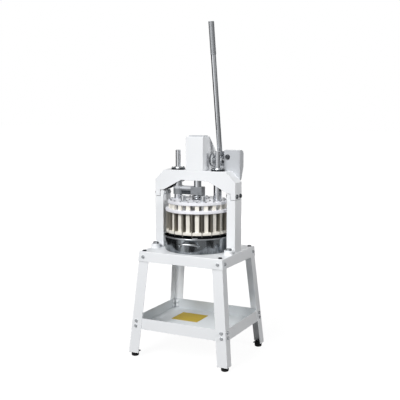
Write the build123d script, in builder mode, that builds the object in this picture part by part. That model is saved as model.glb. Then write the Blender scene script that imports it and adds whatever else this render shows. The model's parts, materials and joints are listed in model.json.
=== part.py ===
import math
import os

from build123d import *

os.makedirs("parts", exist_ok=True)

# Frame: the floor is Z = 0, the operator stands at -Y, the lever is on the +X side.

# Stand
table_height = 516
table_side_margin = 5
table_front_margin = 20.5
table_sheet = 3
table_edge_round = 2.5
apron_height = 48
splay_x = 0.093
splay_y = 0.073
leg_front = 52
leg_flange = 45
leg_wall = 3
leg_bottom = 20
leg_plate = 4
leg_plate_size = 40
tray_floor_height = 141
tray_lip = 51
tray_sheet = 2
plate_width = 145
plate_depth = 130
plate_sheet = 1
plate_corner = 4
plate_center = (-81, 70)

# Feet
pad_radius = 18
pad_height = 18
pad_round = 3
stud_radius = 5
stud_flange = 9
stud_seat = 8
stud_reach = 12

# Stand fasteners
bolt_radius = 4
bolt_flats = 13
bolt_head = 5.5
bolt_length = 15
bolt_clearance = 0.2
bolt_edge = 22
nut_height = 6.5
apron_bolt_drop = 25
shelf_bolt_drops = (14, 38)
corner_bolt_inset = 19
corner_bolt_length = 14
corner_bolt_flats = 16
corner_bolt_head = 5

# Uprights and stop posts
upright_width = 44
upright_gap = 3.5
upright_depth = 75
upright_height = 252
upright_wall = 5
upright_round = 2
upright_base = 8
upright_bolt_spacing = 40
upright_bolt_radius = 5
lug_thickness = 17
lug_height = 29
lug_clearance = 1.5
post_radius = 22
post_height = 20
post_gap = 7.5
post_out = 4
post_bolt_radius = 8
post_bolt_flats = 24
post_bolt_head = 9

# Arch
arch_rise = 132
arch_beam = 48
arch_shoulder = 50
arch_haunch_x = 72
arch_haunch_rise = 32
arch_round = 2
arch_wall = 8
arch_pocket_inset = 55
shim = 2
shim_inset = 4
arch_bolt_radius = 5
arch_bolt_flats = 17
arch_bolt_head = 6.5
arch_bolt_spacing = 40
arch_bolt_rise = 17
arch_nut = 8

# Tower
tower_half = 46
tower_height = 162
tower_flat = 71
tower_slope = 71
slope_angle = 45
tower_wall = 4
tower_floor = 3
tower_round = 2
tower_screw_x = 34
tower_screw_y = 26
cap_width = 80
cap_depth = 46
cap_thickness = 5
cap_setback = 20
gear_window_width = 24
gear_window_depth = 56

# Lever and its shaft
shaft_rise = 49
shaft_radius = 12
shaft_end = 6.5
hub_end = 3
journal_radius = 7
journal_end_gap = 9
running_clearance = 0.05
bush_radius = 18
bush_inner = 6
left_flange_radius = 26
left_flange = 6
right_boss_radius = 29
right_boss = 9
ring_radius = 16
ring_thickness = 1.5
ring_groove = 1
hub_radius = 17
hub_width = 26
lever_x = 94
lever_lean = 9.3
lever_length = 653
rod_radius = 12.5
rod_start = 19
rod_spigot = 7
grip_radius = 13.5
grip_length = 152
grip_core = 10
grip_end_wall = 10
hub_screw_radius = 4

# Gear sector and rack
module = 4
dedendum = 1.25
gear_teeth = 24
pressure_angle = 20
backlash = 0.4
gear_width = 18
gear_hub_radius = 22
gear_hub_width = 40
sector_first = -1
sector_last = 8
key_width = 6
key_height = 6

# Ram and crosshead
ram_radius = 14
ram_headroom = 12
ram_collar_wall = 4.5
ram_collar_gap = 2
rack_flat_depth = 1
rack_pitch_depth = 5
rack_first_gap = -2
rack_last_gap = 8
ram_bush_wall = 6
ram_bush_lip = 4
ram_bush_flange = 4
bush_drop = 50
ram_shoulder = 4
ram_nut_flats = 30
ram_nut = 13
crosshead_width = 60
crosshead_depth = 40
crosshead_lift = 22
crosshead_height = 40
arm_lift = 27
arm_radius = 15
arm_seat = 6
arm_web = 16
arm_end_radius = 24
arm_end_height = 42
crosshead_round = 2
crosshead_screw_gap = 4

# Guide rods and their bushes
guide_x = 107
guide_radius = 12.5
guide_overrun = 95
sleeve_wall = 7.5
sleeve_gap = 2
guide_flange_radius = 34
guide_flange = 8
guide_collar_radius = 20.5
guide_collar = 6
guide_screw_radius = 27
screw_radius = 3
screw_head_radius = 5
screw_head = 6
screw_length = 14
screw_socket = 2.5

# Dividing head
drum_radius = 153.5
carrier_lip = 2
carrier_thickness = 14
knife_rise = 82
knife_depth = 108
knife_thickness = 2
inner_count = 4
middle_count = 12
outer_count = 20
cell_turn = -1.5
inner_knife_drop = 23
knife_gap = 1
seat_depth = 10
stem_clearance = 0.5
post_angles = (257, 311, 104)
post_rod_radius = 12.5
post_overrun = 7
post_shoulder = 14.5

# Press plate
press_inset = 10.5
press_lift = 24
press_thickness = 14
press_round = 1.5
press_clearance = 0.08
rod_hole_clearance = 1.5
foot_lift = 7
foot_thickness = 13
inner_stem = (10, 14)
middle_stem = (12, 16)
outer_stem = (13, 19)
inner_stem_inset = 9
middle_stem_inset = 22.3
outer_stem_inset = 19.5
plunger_screw_radius = 2.5
plunger_screw_head_radius = 4.5
plunger_screw_head = 4
plunger_screw_bite = 10
cup_radius = 31
cup_wall = 4
cup_lift = 5

# Press spring
spring_radius = 26
spring_wire = 3
spring_quarters = 16
spring_seat_gap = 0.3

# Spring housing
housing_gap = 11
housing_width = 84
housing_rise = 99
housing_drop = 43
housing_depth = 43
housing_round = 24
housing_taper_rise = 18
housing_taper_depth = 17.5
housing_wall = 4
housing_bolt_radius = 4
housing_bolt_head = 6
housing_bolt_insets = (19, 61)
housing_bolt_drops = (20, 32)
front_bolt_inset = 20
front_bolt_rise = 66
front_bolt_radius = 6
front_bolt_flats = 19
front_bolt_head = 8
guard_sheet = 3
guard_front = 37.5
guard_gap = 2
return_spring_radius = 14
return_spring_bore = 9
return_spring_length = 40
cover_boss = 11

# Pan
pan_clearance = 4
pan_flare = 4
pan_wall = 1.5
pan_height = 72
pan_corner = 6
pan_float = 0.2
rim_bead = 3
handle_turn = 12.5
handle_width = 88
handle_reach = 48
handle_rise = 20
handle_height = 38
handle_radius = 4
handle_bend = 30
tab_turn = 22
tab_width = 26
tab_height = 9
tab_sheet = 3

# Edges
edge_break = 1
rod_chamfer = 1.5
post_chamfer = 2

# Widths, seen from the pan outwards: the uprights stand beside its rim
pan_radius = drum_radius + pan_clearance + pan_wall
rim_inner = pan_radius + pan_flare - pan_wall
rim_radius = rim_inner + 2 * rim_bead
arch_half = rim_radius + upright_gap + upright_width
table_width = 2 * (arch_half + table_side_margin)
table_depth = 2 * (rim_radius + table_front_margin)

# Levels, seen from the table upwards
upright_top = table_height + upright_height
arch_top = upright_top + arch_rise
arch_under = arch_top - arch_beam
arch_haunch_z = upright_top + arch_haunch_rise
arch_pocket_half = arch_half - arch_pocket_inset
arch_bolt_height = upright_top + arch_bolt_rise
tower_top = arch_top + tower_height
knife_bottom = table_height + knife_rise
carrier_bottom = knife_bottom + knife_depth
carrier_top = carrier_bottom + carrier_thickness
inner_knife_top = carrier_bottom - inner_knife_drop
press_bottom = carrier_top + press_lift
press_top = press_bottom + press_thickness
cup_bottom = carrier_top + cup_lift
crosshead_bottom = press_top + crosshead_lift
crosshead_top = crosshead_bottom + crosshead_height
arm_z = crosshead_bottom + arm_lift
post_top = crosshead_bottom + post_overrun
guide_top = arch_top + guide_overrun
sleeve_radius = guide_radius + sleeve_wall
sleeve_top = arch_top - bush_drop - sleeve_gap
ram_top = tower_top - ram_headroom

# Head: every knife cell has the same area
cell_count = inner_count + middle_count + outer_count
inner_ring_radius = drum_radius * math.sqrt(inner_count / cell_count)
outer_ring_radius = drum_radius * math.sqrt((inner_count + middle_count) / cell_count)
carrier_radius = drum_radius + carrier_lip
press_radius = carrier_radius - press_inset

# Ram, gear and shaft
ram_spigot = ram_radius - ram_shoulder
ram_collar_radius = ram_radius + ram_collar_wall
ram_collar_top = arch_under - ram_collar_gap
ram_bush_radius = ram_radius + ram_bush_wall
ram_bush_flange_radius = ram_bush_radius + ram_bush_lip
rack_pitch_line = ram_radius - rack_pitch_depth
rack_flat = ram_radius - rack_flat_depth
crosshead_screw_x = ram_radius + crosshead_screw_gap
pitch_radius = module * gear_teeth / 2
shaft_y = rack_pitch_line + pitch_radius
shaft_z = arch_top + shaft_rise
shaft_left = -(tower_half + left_flange + ring_thickness + shaft_end)
shaft_right = lever_x + hub_width / 2 + hub_end

# Spring housing
housing_left = shaft_right + housing_gap
housing_right = housing_left + housing_width
housing_top = arch_top + housing_rise
housing_bottom = arch_top - housing_drop
housing_taper_z = arch_top + housing_taper_rise
housing_bolt_places = [
    (housing_left + inset, arch_top - drop)
    for inset, drop in zip(housing_bolt_insets, housing_bolt_drops)
]
guard_left = tower_half + right_boss + guard_gap
front_bolt_x = housing_left + front_bolt_inset
front_bolt_z = arch_top + front_bolt_rise
journal_end = housing_right - journal_end_gap


def save(part, label):
    part.label = label
    export_step(part, f"parts/{label}.step")


def half_width(z, inset=0):
    return table_width / 2 - inset + splay_x * (table_height - z)


def half_depth(z, inset=0):
    return table_depth / 2 - inset + splay_y * (table_height - z)


def splayed_plane(sx, sy, side, z, inset):
    # Plane on a splayed outer face, at one leg, with its normal pointing out
    if side == "x":
        origin = (sx * half_width(z, inset), sy * (half_depth(z, table_sheet) - bolt_edge), z)
        return Plane(origin=origin, x_dir=(0, 1, 0), z_dir=(sx, 0, splay_x))
    origin = (sx * (half_width(z, table_sheet) - bolt_edge), sy * half_depth(z, inset), z)
    return Plane(origin=origin, x_dir=(1, 0, 0), z_dir=(0, sy, splay_y))


def upright_planes(spots, z):
    return [Plane(origin=(x, y, z)) for x, y in spots]


corners = {
    "front_left": (-1, -1),
    "front_right": (1, -1),
    "rear_left": (-1, 1),
    "rear_right": (1, 1),
}
sides = ("x", "y")
apron_bolt_z = table_height - apron_bolt_drop
tray_top = tray_floor_height + tray_lip
tray_bottom = tray_floor_height - tray_sheet
leg_top = table_height - table_sheet

apron_planes = {}
shelf_planes = {}
for name, (sx, sy) in corners.items():
    apron_planes[name] = [splayed_plane(sx, sy, side, apron_bolt_z, 0) for side in sides]
    shelf_planes[name] = [
        splayed_plane(sx, sy, side, tray_top - drop, table_sheet)
        for side in sides
        for drop in shelf_bolt_drops
    ]
all_apron_planes = [plane for planes in apron_planes.values() for plane in planes]
all_shelf_planes = [plane for planes in shelf_planes.values() for plane in planes]

corner_bolt_x = table_width / 2 - corner_bolt_inset
corner_bolt_y = table_depth / 2 - corner_bolt_inset
corner_bolt_spots = [(sx * corner_bolt_x, sy * corner_bolt_y) for sx, sy in corners.values()]
upright_x = arch_half - upright_width / 2
upright_bolt_spots = [(sx * upright_x, sy * upright_bolt_spacing / 2) for sx, sy in corners.values()]
post_y = -upright_depth / 2 - post_gap - post_radius
post_spots = [(-upright_x - post_out, post_y), (upright_x + post_out, post_y)]

# Table top: a folded sheet whose apron follows the splay of the legs
with BuildPart() as table_top:
    for z in (table_height - apron_height, table_height):
        with BuildSketch(Plane.XY.offset(z)):
            Rectangle(2 * half_width(z), 2 * half_depth(z))
    loft(ruled=True)
    fillet(table_top.edges().group_by(Axis.Z)[-1], radius=table_edge_round)
    for z in (table_height - apron_height, leg_top):
        with BuildSketch(Plane.XY.offset(z)):
            Rectangle(2 * half_width(z, table_sheet), 2 * half_depth(z, table_sheet))
    loft(ruled=True, mode=Mode.SUBTRACT)
    with Locations(*all_apron_planes):
        Cylinder(bolt_radius + bolt_clearance, 2 * bolt_length, mode=Mode.SUBTRACT)
    for spots, radius in (
        (corner_bolt_spots, bolt_radius),
        (upright_bolt_spots, upright_bolt_radius),
        (post_spots, post_bolt_radius),
    ):
        with Locations(*upright_planes(spots, leg_top)):
            Cylinder(radius + bolt_clearance, 4 * table_sheet, mode=Mode.SUBTRACT)
save(table_top.part, "table_top")

# Legs: splayed angle sections with a tab under the table and a plate over the foot
foot_spots = []
for name, (sx, sy) in corners.items():
    low = (sx * half_width(leg_bottom, table_sheet), sy * half_depth(leg_bottom, table_sheet))
    top = (sx * half_width(leg_top, table_sheet), sy * half_depth(leg_top, table_sheet))
    run = Vector(top[0] - low[0], top[1] - low[1], leg_top - leg_bottom)
    foot = (low[0] - sx * bolt_edge, low[1] - sy * bolt_edge)
    foot_spots.append(foot)
    plate_align = (Align.MAX if sx > 0 else Align.MIN, Align.MAX if sy > 0 else Align.MIN, Align.MIN)
    with BuildPart() as leg:
        with BuildSketch(Plane.XY.offset(leg_bottom)):
            with BuildLine():
                Polyline(
                    low,
                    (low[0] - sx * leg_front, low[1]),
                    (low[0] - sx * leg_front, low[1] - sy * leg_wall),
                    (low[0] - sx * leg_wall, low[1] - sy * leg_wall),
                    (low[0] - sx * leg_wall, low[1] - sy * leg_flange),
                    (low[0], low[1] - sy * leg_flange),
                    close=True,
                )
            make_face()
        extrude(amount=run.length, dir=run)
        for corner, z in ((low, leg_bottom), (top, leg_top - leg_plate)):
            with Locations((corner[0] - sx * leg_wall / 2, corner[1] - sy * leg_wall / 2, z)):
                Box(leg_plate_size, leg_plate_size, leg_plate, align=plate_align)
        with Locations(*apron_planes[name], *shelf_planes[name]):
            Cylinder(bolt_radius + bolt_clearance, 2 * bolt_length, mode=Mode.SUBTRACT)
        with Locations((*foot, leg_bottom)):
            Cylinder(stud_radius, 4 * leg_plate, mode=Mode.SUBTRACT)
        with Locations((sx * corner_bolt_x, sy * corner_bolt_y, leg_top)):
            Cylinder(bolt_radius + bolt_clearance, 4 * leg_plate, mode=Mode.SUBTRACT)
    save(leg.part, f"{name}_leg")

# Feet: rubber pads on studs that screw into the foot plates
with BuildPart() as foot_pads:
    with BuildSketch(*upright_planes(foot_spots, 0)):
        Circle(pad_radius)
    extrude(amount=pad_height)
    fillet(foot_pads.edges().group_by(Axis.Z)[-1], radius=pad_round)
    with BuildSketch(*upright_planes(foot_spots, stud_seat)):
        Circle(stud_radius)
    extrude(amount=pad_height, mode=Mode.SUBTRACT)
save(foot_pads.part, "foot_pads")

with BuildPart() as foot_studs:
    with BuildSketch(*upright_planes(foot_spots, stud_seat)):
        Circle(stud_radius)
    extrude(amount=leg_bottom + leg_plate + stud_reach - stud_seat)
    with BuildSketch(*upright_planes(foot_spots, pad_height)):
        RegularPolygon(stud_flange, 6, major_radius=False)
    extrude(amount=leg_bottom - pad_height)
save(foot_studs.part, "foot_studs")

# Shelf tray: upturned lips lie against the inner faces of the legs
tray_inset = table_sheet + leg_wall
with BuildPart() as shelf_tray:
    for z in (tray_bottom, tray_top):
        with BuildSketch(Plane.XY.offset(z)):
            Rectangle(2 * half_width(z, tray_inset), 2 * half_depth(z, tray_inset))
    loft(ruled=True)
    for z in (tray_floor_height, tray_top):
        with BuildSketch(Plane.XY.offset(z)):
            Rectangle(
                2 * half_width(z, tray_inset + tray_sheet),
                2 * half_depth(z, tray_inset + tray_sheet),
            )
    loft(ruled=True, mode=Mode.SUBTRACT)
    with Locations(*all_shelf_planes):
        Cylinder(bolt_radius + bolt_clearance, 2 * bolt_length, mode=Mode.SUBTRACT)
save(shelf_tray.part, "shelf_tray")

with BuildPart() as blank_plate:
    with BuildSketch(Plane.XY.offset(tray_floor_height)):
        with Locations(plate_center):
            RectangleRounded(plate_width, plate_depth, plate_corner)
    extrude(amount=plate_sheet)
save(blank_plate.part, "blank_plate")

# Leg bolts and nuts
with BuildPart() as frame_bolts:
    with BuildSketch(*all_apron_planes, *all_shelf_planes):
        RegularPolygon(bolt_flats / 2, 6, major_radius=False)
    extrude(amount=bolt_head)
    with BuildSketch(*all_apron_planes, *all_shelf_planes):
        Circle(bolt_radius)
    extrude(amount=-bolt_length)
save(frame_bolts.part, "frame_bolts")

nut_planes = [plane.offset(-table_sheet - leg_wall) for plane in all_apron_planes]
nut_planes += [plane.offset(-leg_wall - tray_sheet) for plane in all_shelf_planes]
with BuildPart() as frame_nuts:
    with BuildSketch(*nut_planes):
        RegularPolygon(bolt_flats / 2, 6, major_radius=False)
        Circle(bolt_radius, mode=Mode.SUBTRACT)
    extrude(amount=-nut_height)
save(frame_nuts.part, "frame_nuts")

with BuildPart() as corner_bolts:
    with BuildSketch(*upright_planes(corner_bolt_spots, table_height)):
        RegularPolygon(corner_bolt_flats / 2, 6, major_radius=False)
    extrude(amount=corner_bolt_head)
    with BuildSketch(*upright_planes(corner_bolt_spots, table_height)):
        Circle(bolt_radius)
    extrude(amount=-corner_bolt_length)
save(corner_bolts.part, "corner_bolts")

# Uprights: closed box posts with a lug that carries the arch
upright_bolt_y = (-upright_bolt_spacing / 2, upright_bolt_spacing / 2)
arch_bolt_y = (-arch_bolt_spacing / 2, arch_bolt_spacing / 2)
for name, sx in (("left", -1), ("right", 1)):
    lug_x = sx * (arch_half - upright_width + lug_thickness / 2)
    with BuildPart() as upright:
        with Locations((sx * upright_x, 0, table_height)):
            Box(
                upright_width,
                upright_depth,
                upright_height,
                align=(Align.CENTER, Align.CENTER, Align.MIN),
            )
        fillet(upright.edges().filter_by(Axis.Z), radius=upright_round)
        with Locations((sx * upright_x, 0, table_height + upright_base)):
            Box(
                upright_width - 2 * upright_wall,
                upright_depth - 2 * upright_wall,
                upright_height - upright_base - upright_wall,
                align=(Align.CENTER, Align.CENTER, Align.MIN),
                mode=Mode.SUBTRACT,
            )
        with Locations((lug_x, 0, upright_top - upright_wall)):
            Box(
                lug_thickness,
                upright_depth - 2 * upright_round,
                lug_height + upright_wall,
                align=(Align.CENTER, Align.CENTER, Align.MIN),
            )
        with Locations(*[Location((lug_x, y, arch_bolt_height), (0, 90, 0)) for y in arch_bolt_y]):
            Cylinder(arch_bolt_radius + bolt_clearance, 2 * lug_thickness, mode=Mode.SUBTRACT)
        with Locations(*[(sx * upright_x, y, table_height) for y in upright_bolt_y]):
            Cylinder(upright_bolt_radius, 4 * upright_base, mode=Mode.SUBTRACT)
    save(upright.part, f"{name}_upright")

with BuildPart() as upright_bolts:
    with BuildSketch(*upright_planes(upright_bolt_spots, leg_top)):
        RegularPolygon(arch_bolt_flats / 2, 6, major_radius=False)
    extrude(amount=-arch_bolt_head)
    with BuildSketch(*upright_planes(upright_bolt_spots, leg_top)):
        Circle(upright_bolt_radius)
    extrude(amount=table_sheet + upright_base)
save(upright_bolts.part, "upright_bolts")

# Stop posts in front of the uprights, which keep the pan between them
with BuildPart() as stop_posts:
    with BuildSketch(*upright_planes(post_spots, table_height)):
        Circle(post_radius)
    extrude(amount=post_height)
    fillet(stop_posts.edges().group_by(Axis.Z)[-1], radius=upright_round)
    with BuildSketch(*upright_planes(post_spots, table_height)):
        Circle(post_bolt_radius)
    extrude(amount=post_height, mode=Mode.SUBTRACT)
save(stop_posts.part, "stop_posts")

with BuildPart() as post_bolts:
    with BuildSketch(*upright_planes(post_spots, table_height + post_height)):
        RegularPolygon(post_bolt_flats / 2, 6, major_radius=False)
    extrude(amount=post_bolt_head)
    with BuildSketch(*upright_planes(post_spots, table_height + post_height)):
        Circle(post_bolt_radius)
    extrude(amount=-post_height - 3 * table_sheet)
save(post_bolts.part, "post_bolts")

# Arch: a cast bridge, hollow from below, that sits on the uprights
arch_bottom = upright_top + shim
arch_inner = arch_half - upright_width
notch_x = arch_inner + lug_thickness + lug_clearance
notch_z = upright_top + lug_height + lug_clearance
arch_depth = upright_depth
arch_back = arch_depth / 2
xz_front = Plane(origin=(0, -arch_back, 0), x_dir=(1, 0, 0), z_dir=(0, -1, 0))
with BuildPart() as arch:
    with BuildSketch(xz_front):
        with BuildLine():
            Polyline(
                (0, arch_top),
                (arch_half - arch_shoulder, arch_top),
                (arch_half, arch_top - arch_shoulder),
                (arch_half, arch_bottom),
                (notch_x, arch_bottom),
                (notch_x, notch_z),
                (arch_inner, max(notch_z, arch_haunch_z)),
                (arch_haunch_x, arch_under),
                (0, arch_under),
                close=True,
            )
        make_face()
        mirror(about=Plane.YZ)
    extrude(amount=-arch_depth)
    outer_edges = (
        arch.faces().sort_by(Axis.Z)[-1].edges().filter_by(Axis.X)
        + arch.edges().filter_by(Axis.Z).filter_by_position(Axis.X, arch_half - 1, arch_half + 1)
        + arch.edges().filter_by(Axis.Z).filter_by_position(Axis.X, -arch_half - 1, -arch_half + 1)
    )
    fillet(outer_edges, radius=arch_round)
    pocket_low = arch_under - (arch_pocket_half - arch_haunch_x)
    with BuildSketch(xz_front.offset(-arch_wall)):
        with BuildLine():
            Polyline(
                (-arch_pocket_half, pocket_low),
                (-arch_pocket_half, arch_top - arch_wall),
                (arch_pocket_half, arch_top - arch_wall),
                (arch_pocket_half, pocket_low),
                close=True,
            )
        make_face()
    extrude(amount=-(arch_depth - 2 * arch_wall), mode=Mode.SUBTRACT)
    with Locations((-guide_x, 0, arch_top), (guide_x, 0, arch_top)):
        Cylinder(bush_radius, 4 * arch_wall, mode=Mode.SUBTRACT)
    with Locations((0, 0, arch_top)):
        Cylinder(ram_bush_radius, 4 * arch_wall, mode=Mode.SUBTRACT)
    with Locations((-guide_x, 0, arch_top), (guide_x, 0, arch_top)):
        with PolarLocations(guide_screw_radius, 4, start_angle=45):
            Cylinder(screw_radius, 4 * arch_wall, mode=Mode.SUBTRACT)
    with GridLocations(2 * tower_screw_x, 2 * tower_screw_y, 2, 2):
        with Locations((0, 0, arch_top)):
            Cylinder(screw_radius, 4 * arch_wall, mode=Mode.SUBTRACT)
    for side in (-1, 1):
        with Locations(
            *[Location((side * arch_half, y, arch_bolt_height), (0, 90, 0)) for y in arch_bolt_y]
        ):
            Cylinder(arch_bolt_radius + bolt_clearance, 2 * upright_width, mode=Mode.SUBTRACT)
    with Locations(*[Location((x, arch_back, z), (90, 0, 0)) for x, z in housing_bolt_places]):
        Cylinder(housing_bolt_radius, 4 * arch_wall, mode=Mode.SUBTRACT)
save(arch.part, "arch")

shim_left = notch_x + shim_inset
with BuildPart() as arch_shims:
    for side in (-1, 1):
        with BuildSketch(Plane.XY.offset(upright_top)):
            with Locations((side * (shim_left + arch_half - shim_inset) / 2, 0)):
                Rectangle(arch_half - shim_inset - shim_left, upright_depth - 2 * shim_inset)
        extrude(amount=shim)
save(arch_shims.part, "arch_shims")

arch_bolt_planes = [
    Plane(origin=(side * arch_half, y, arch_bolt_height), x_dir=(0, 1, 0), z_dir=(side, 0, 0))
    for side in (-1, 1)
    for y in arch_bolt_y
]
with BuildPart() as arch_bolts:
    with BuildSketch(*arch_bolt_planes):
        RegularPolygon(arch_bolt_flats / 2, 6, major_radius=False)
    extrude(amount=arch_bolt_head)
    with BuildSketch(*arch_bolt_planes):
        Circle(arch_bolt_radius)
    extrude(amount=-upright_width - arch_nut)
save(arch_bolts.part, "arch_bolts")

with BuildPart() as arch_nuts:
    with BuildSketch(*[plane.offset(-upright_width) for plane in arch_bolt_planes]):
        RegularPolygon(arch_bolt_flats / 2, 6, major_radius=False)
        Circle(arch_bolt_radius, mode=Mode.SUBTRACT)
    extrude(amount=-arch_nut)
save(arch_nuts.part, "arch_nuts")

# Tower: a sheet housing over the gear, flush with the front of the arch
tower_front = -arch_back
tower_back = tower_front + tower_flat + tower_slope
tower_slope_low = tower_top - tower_slope
slope_wall = tower_wall * math.tan(math.radians(slope_angle / 2))
with BuildPart() as tower:
    with BuildSketch(Plane.YZ.offset(-tower_half)):
        with BuildLine():
            Polyline(
                (tower_front, arch_top),
                (tower_front, tower_top),
                (tower_front + tower_flat, tower_top),
                (tower_back, tower_slope_low),
                (tower_back, arch_top),
                close=True,
            )
        make_face()
    extrude(amount=2 * tower_half)
    fillet(tower.edges().filter_by(Axis.Z), radius=tower_round)
    fillet(tower.faces().sort_by(Axis.Z)[-1].edges().sort_by(Axis.Y)[0], radius=arch_round)
    with BuildSketch(Plane.YZ.offset(-tower_half + tower_wall)):
        with BuildLine():
            Polyline(
                (tower_front + tower_wall, arch_top + tower_floor),
                (tower_front + tower_wall, tower_top - tower_wall),
                (tower_front + tower_flat - slope_wall, tower_top - tower_wall),
                (tower_back - tower_wall, tower_slope_low - slope_wall),
                (tower_back - tower_wall, arch_top + tower_floor),
                close=True,
            )
        make_face()
    extrude(amount=2 * (tower_half - tower_wall), mode=Mode.SUBTRACT)
    with Locations((0, 0, arch_top)):
        Cylinder(ram_bush_radius, 4 * tower_floor, mode=Mode.SUBTRACT)
    with GridLocations(2 * tower_screw_x, 2 * tower_screw_y, 2, 2):
        with Locations((0, 0, arch_top)):
            Cylinder(screw_radius, 4 * tower_floor, mode=Mode.SUBTRACT)
    with Locations(Location((0, shaft_y, shaft_z), (0, 90, 0))):
        Cylinder(bush_radius, 4 * tower_half, mode=Mode.SUBTRACT)
    with Locations((0, shaft_y, arch_top)):
        Box(gear_window_width, gear_window_depth, 4 * tower_floor, mode=Mode.SUBTRACT)
save(tower.part, "tower")

with BuildPart() as tower_cap:
    with BuildSketch(Plane.XY.offset(tower_top)):
        with Locations((0, tower_front + cap_setback + cap_depth / 2)):
            Rectangle(cap_width, cap_depth)
    extrude(amount=cap_thickness)
    chamfer(tower_cap.edges().group_by(Axis.Z)[-1], length=edge_break)
save(tower_cap.part, "tower_cap")

# Socket screws that hold the guide bushes and the tower on the arch
screw_seats = [
    Plane(
        origin=(
            side * guide_x + guide_screw_radius * math.cos(math.radians(angle)),
            guide_screw_radius * math.sin(math.radians(angle)),
            arch_top + guide_flange,
        )
    )
    for side in (-1, 1)
    for angle in (45, 135, 225, 315)
]
tower_screw_spots = [(sx * tower_screw_x, sy * tower_screw_y) for sx, sy in corners.values()]
screw_seats += upright_planes(tower_screw_spots, arch_top + tower_floor)
with BuildPart() as cap_screws:
    with BuildSketch(*screw_seats):
        Circle(screw_head_radius)
    extrude(amount=screw_head)
    with BuildSketch(*screw_seats):
        Circle(screw_radius)
    extrude(amount=-screw_length)
    with BuildSketch(*[seat.offset(screw_head / 2) for seat in screw_seats]):
        RegularPolygon(screw_socket, 6, major_radius=False)
    extrude(amount=screw_head, mode=Mode.SUBTRACT)
save(cap_screws.part, "cap_screws")

# Bushes
with BuildPart() as guide_bushes:
    for side in (-1, 1):
        with Locations((side * guide_x, 0, arch_top)):
            Cylinder(guide_flange_radius, guide_flange, align=(Align.CENTER, Align.CENTER, Align.MIN))
            Cylinder(
                guide_collar_radius,
                guide_flange + guide_collar,
                align=(Align.CENTER, Align.CENTER, Align.MIN),
            )
            Cylinder(bush_radius, bush_drop, align=(Align.CENTER, Align.CENTER, Align.MAX))
            Cylinder(guide_radius + running_clearance, 4 * bush_drop, mode=Mode.SUBTRACT)
            with PolarLocations(guide_screw_radius, 4, start_angle=45):
                Cylinder(screw_radius, 4 * guide_flange, mode=Mode.SUBTRACT)
save(guide_bushes.part, "guide_bushes")

with BuildPart() as ram_bush:
    with Locations((0, 0, arch_top + tower_floor)):
        Cylinder(ram_bush_flange_radius, ram_bush_flange, align=(Align.CENTER, Align.CENTER, Align.MIN))
        Cylinder(ram_bush_radius, bush_drop, align=(Align.CENTER, Align.CENTER, Align.MAX))
        Cylinder(ram_radius + running_clearance, 4 * bush_drop, mode=Mode.SUBTRACT)
save(ram_bush.part, "ram_bush")

shaft_plane = Plane(origin=(0, shaft_y, shaft_z), x_dir=(0, 1, 0), z_dir=(1, 0, 0))
for name, side, radius, length in (
    ("left", -1, left_flange_radius, left_flange),
    ("right", 1, right_boss_radius, right_boss),
):
    with BuildPart() as shaft_bush:
        with BuildSketch(shaft_plane.offset(side * tower_half)):
            Circle(radius)
        extrude(amount=side * length)
        with BuildSketch(shaft_plane.offset(side * tower_half)):
            Circle(bush_radius)
        extrude(amount=-side * bush_inner)
        with BuildSketch(shaft_plane.offset(side * (tower_half + length))):
            Circle(shaft_radius + running_clearance)
        extrude(amount=-side * (length + bush_inner), mode=Mode.SUBTRACT)
    save(shaft_bush.part, f"{name}_shaft_bush")

# Lever shaft with its key, retaining ring and hub
hub_left = lever_x - hub_width / 2
ring_x = -tower_half - left_flange - ring_thickness
with BuildPart() as lever_shaft:
    with BuildSketch(shaft_plane.offset(shaft_left)):
        Circle(shaft_radius)
    extrude(amount=shaft_right - shaft_left)
    with BuildSketch(shaft_plane.offset(shaft_right)):
        Circle(journal_radius)
    extrude(amount=journal_end - shaft_right)
    with BuildSketch(shaft_plane.offset(ring_x)):
        Circle(shaft_radius)
        Circle(shaft_radius - ring_groove, mode=Mode.SUBTRACT)
    extrude(amount=ring_thickness, mode=Mode.SUBTRACT)
    with Locations((0, shaft_y, shaft_z + shaft_radius)):
        Box(gear_width, key_width, key_height, mode=Mode.SUBTRACT)
save(lever_shaft.part, "lever_shaft")

with BuildPart() as retaining_ring:
    with BuildSketch(shaft_plane.offset(ring_x)):
        Circle(ring_radius)
        Circle(shaft_radius - ring_groove, mode=Mode.SUBTRACT)
    extrude(amount=ring_thickness)
save(retaining_ring.part, "retaining_ring")

with BuildPart() as gear_key:
    with Locations((0, shaft_y, shaft_z + shaft_radius)):
        Box(gear_width, key_width, key_height)
save(gear_key.part, "gear_key")

# Gear sector: involute teeth over the arc that meets the rack
base_radius = pitch_radius * math.cos(math.radians(pressure_angle))
tip_radius = pitch_radius + module
root_radius = pitch_radius - dedendum * module
tooth_pitch = math.pi * module
tooth_step = 360 / gear_teeth
pitch_half = math.degrees((tooth_pitch - backlash) / 4 / pitch_radius)
flank_steps = 5


def involute(radius):
    angle = math.acos(base_radius / radius)
    return math.degrees(math.tan(angle) - angle)


def flank(center_angle, side):
    points = []
    for step in range(flank_steps + 1):
        radius = base_radius + (tip_radius - base_radius) * step / flank_steps
        half = pitch_half + involute(pitch_radius) - involute(radius)
        angle = math.radians(center_angle + side * half)
        points.append((radius * math.cos(angle), radius * math.sin(angle)))
    return points


def polar(radius, angle):
    return (radius * math.cos(math.radians(angle)), radius * math.sin(math.radians(angle)))


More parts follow.
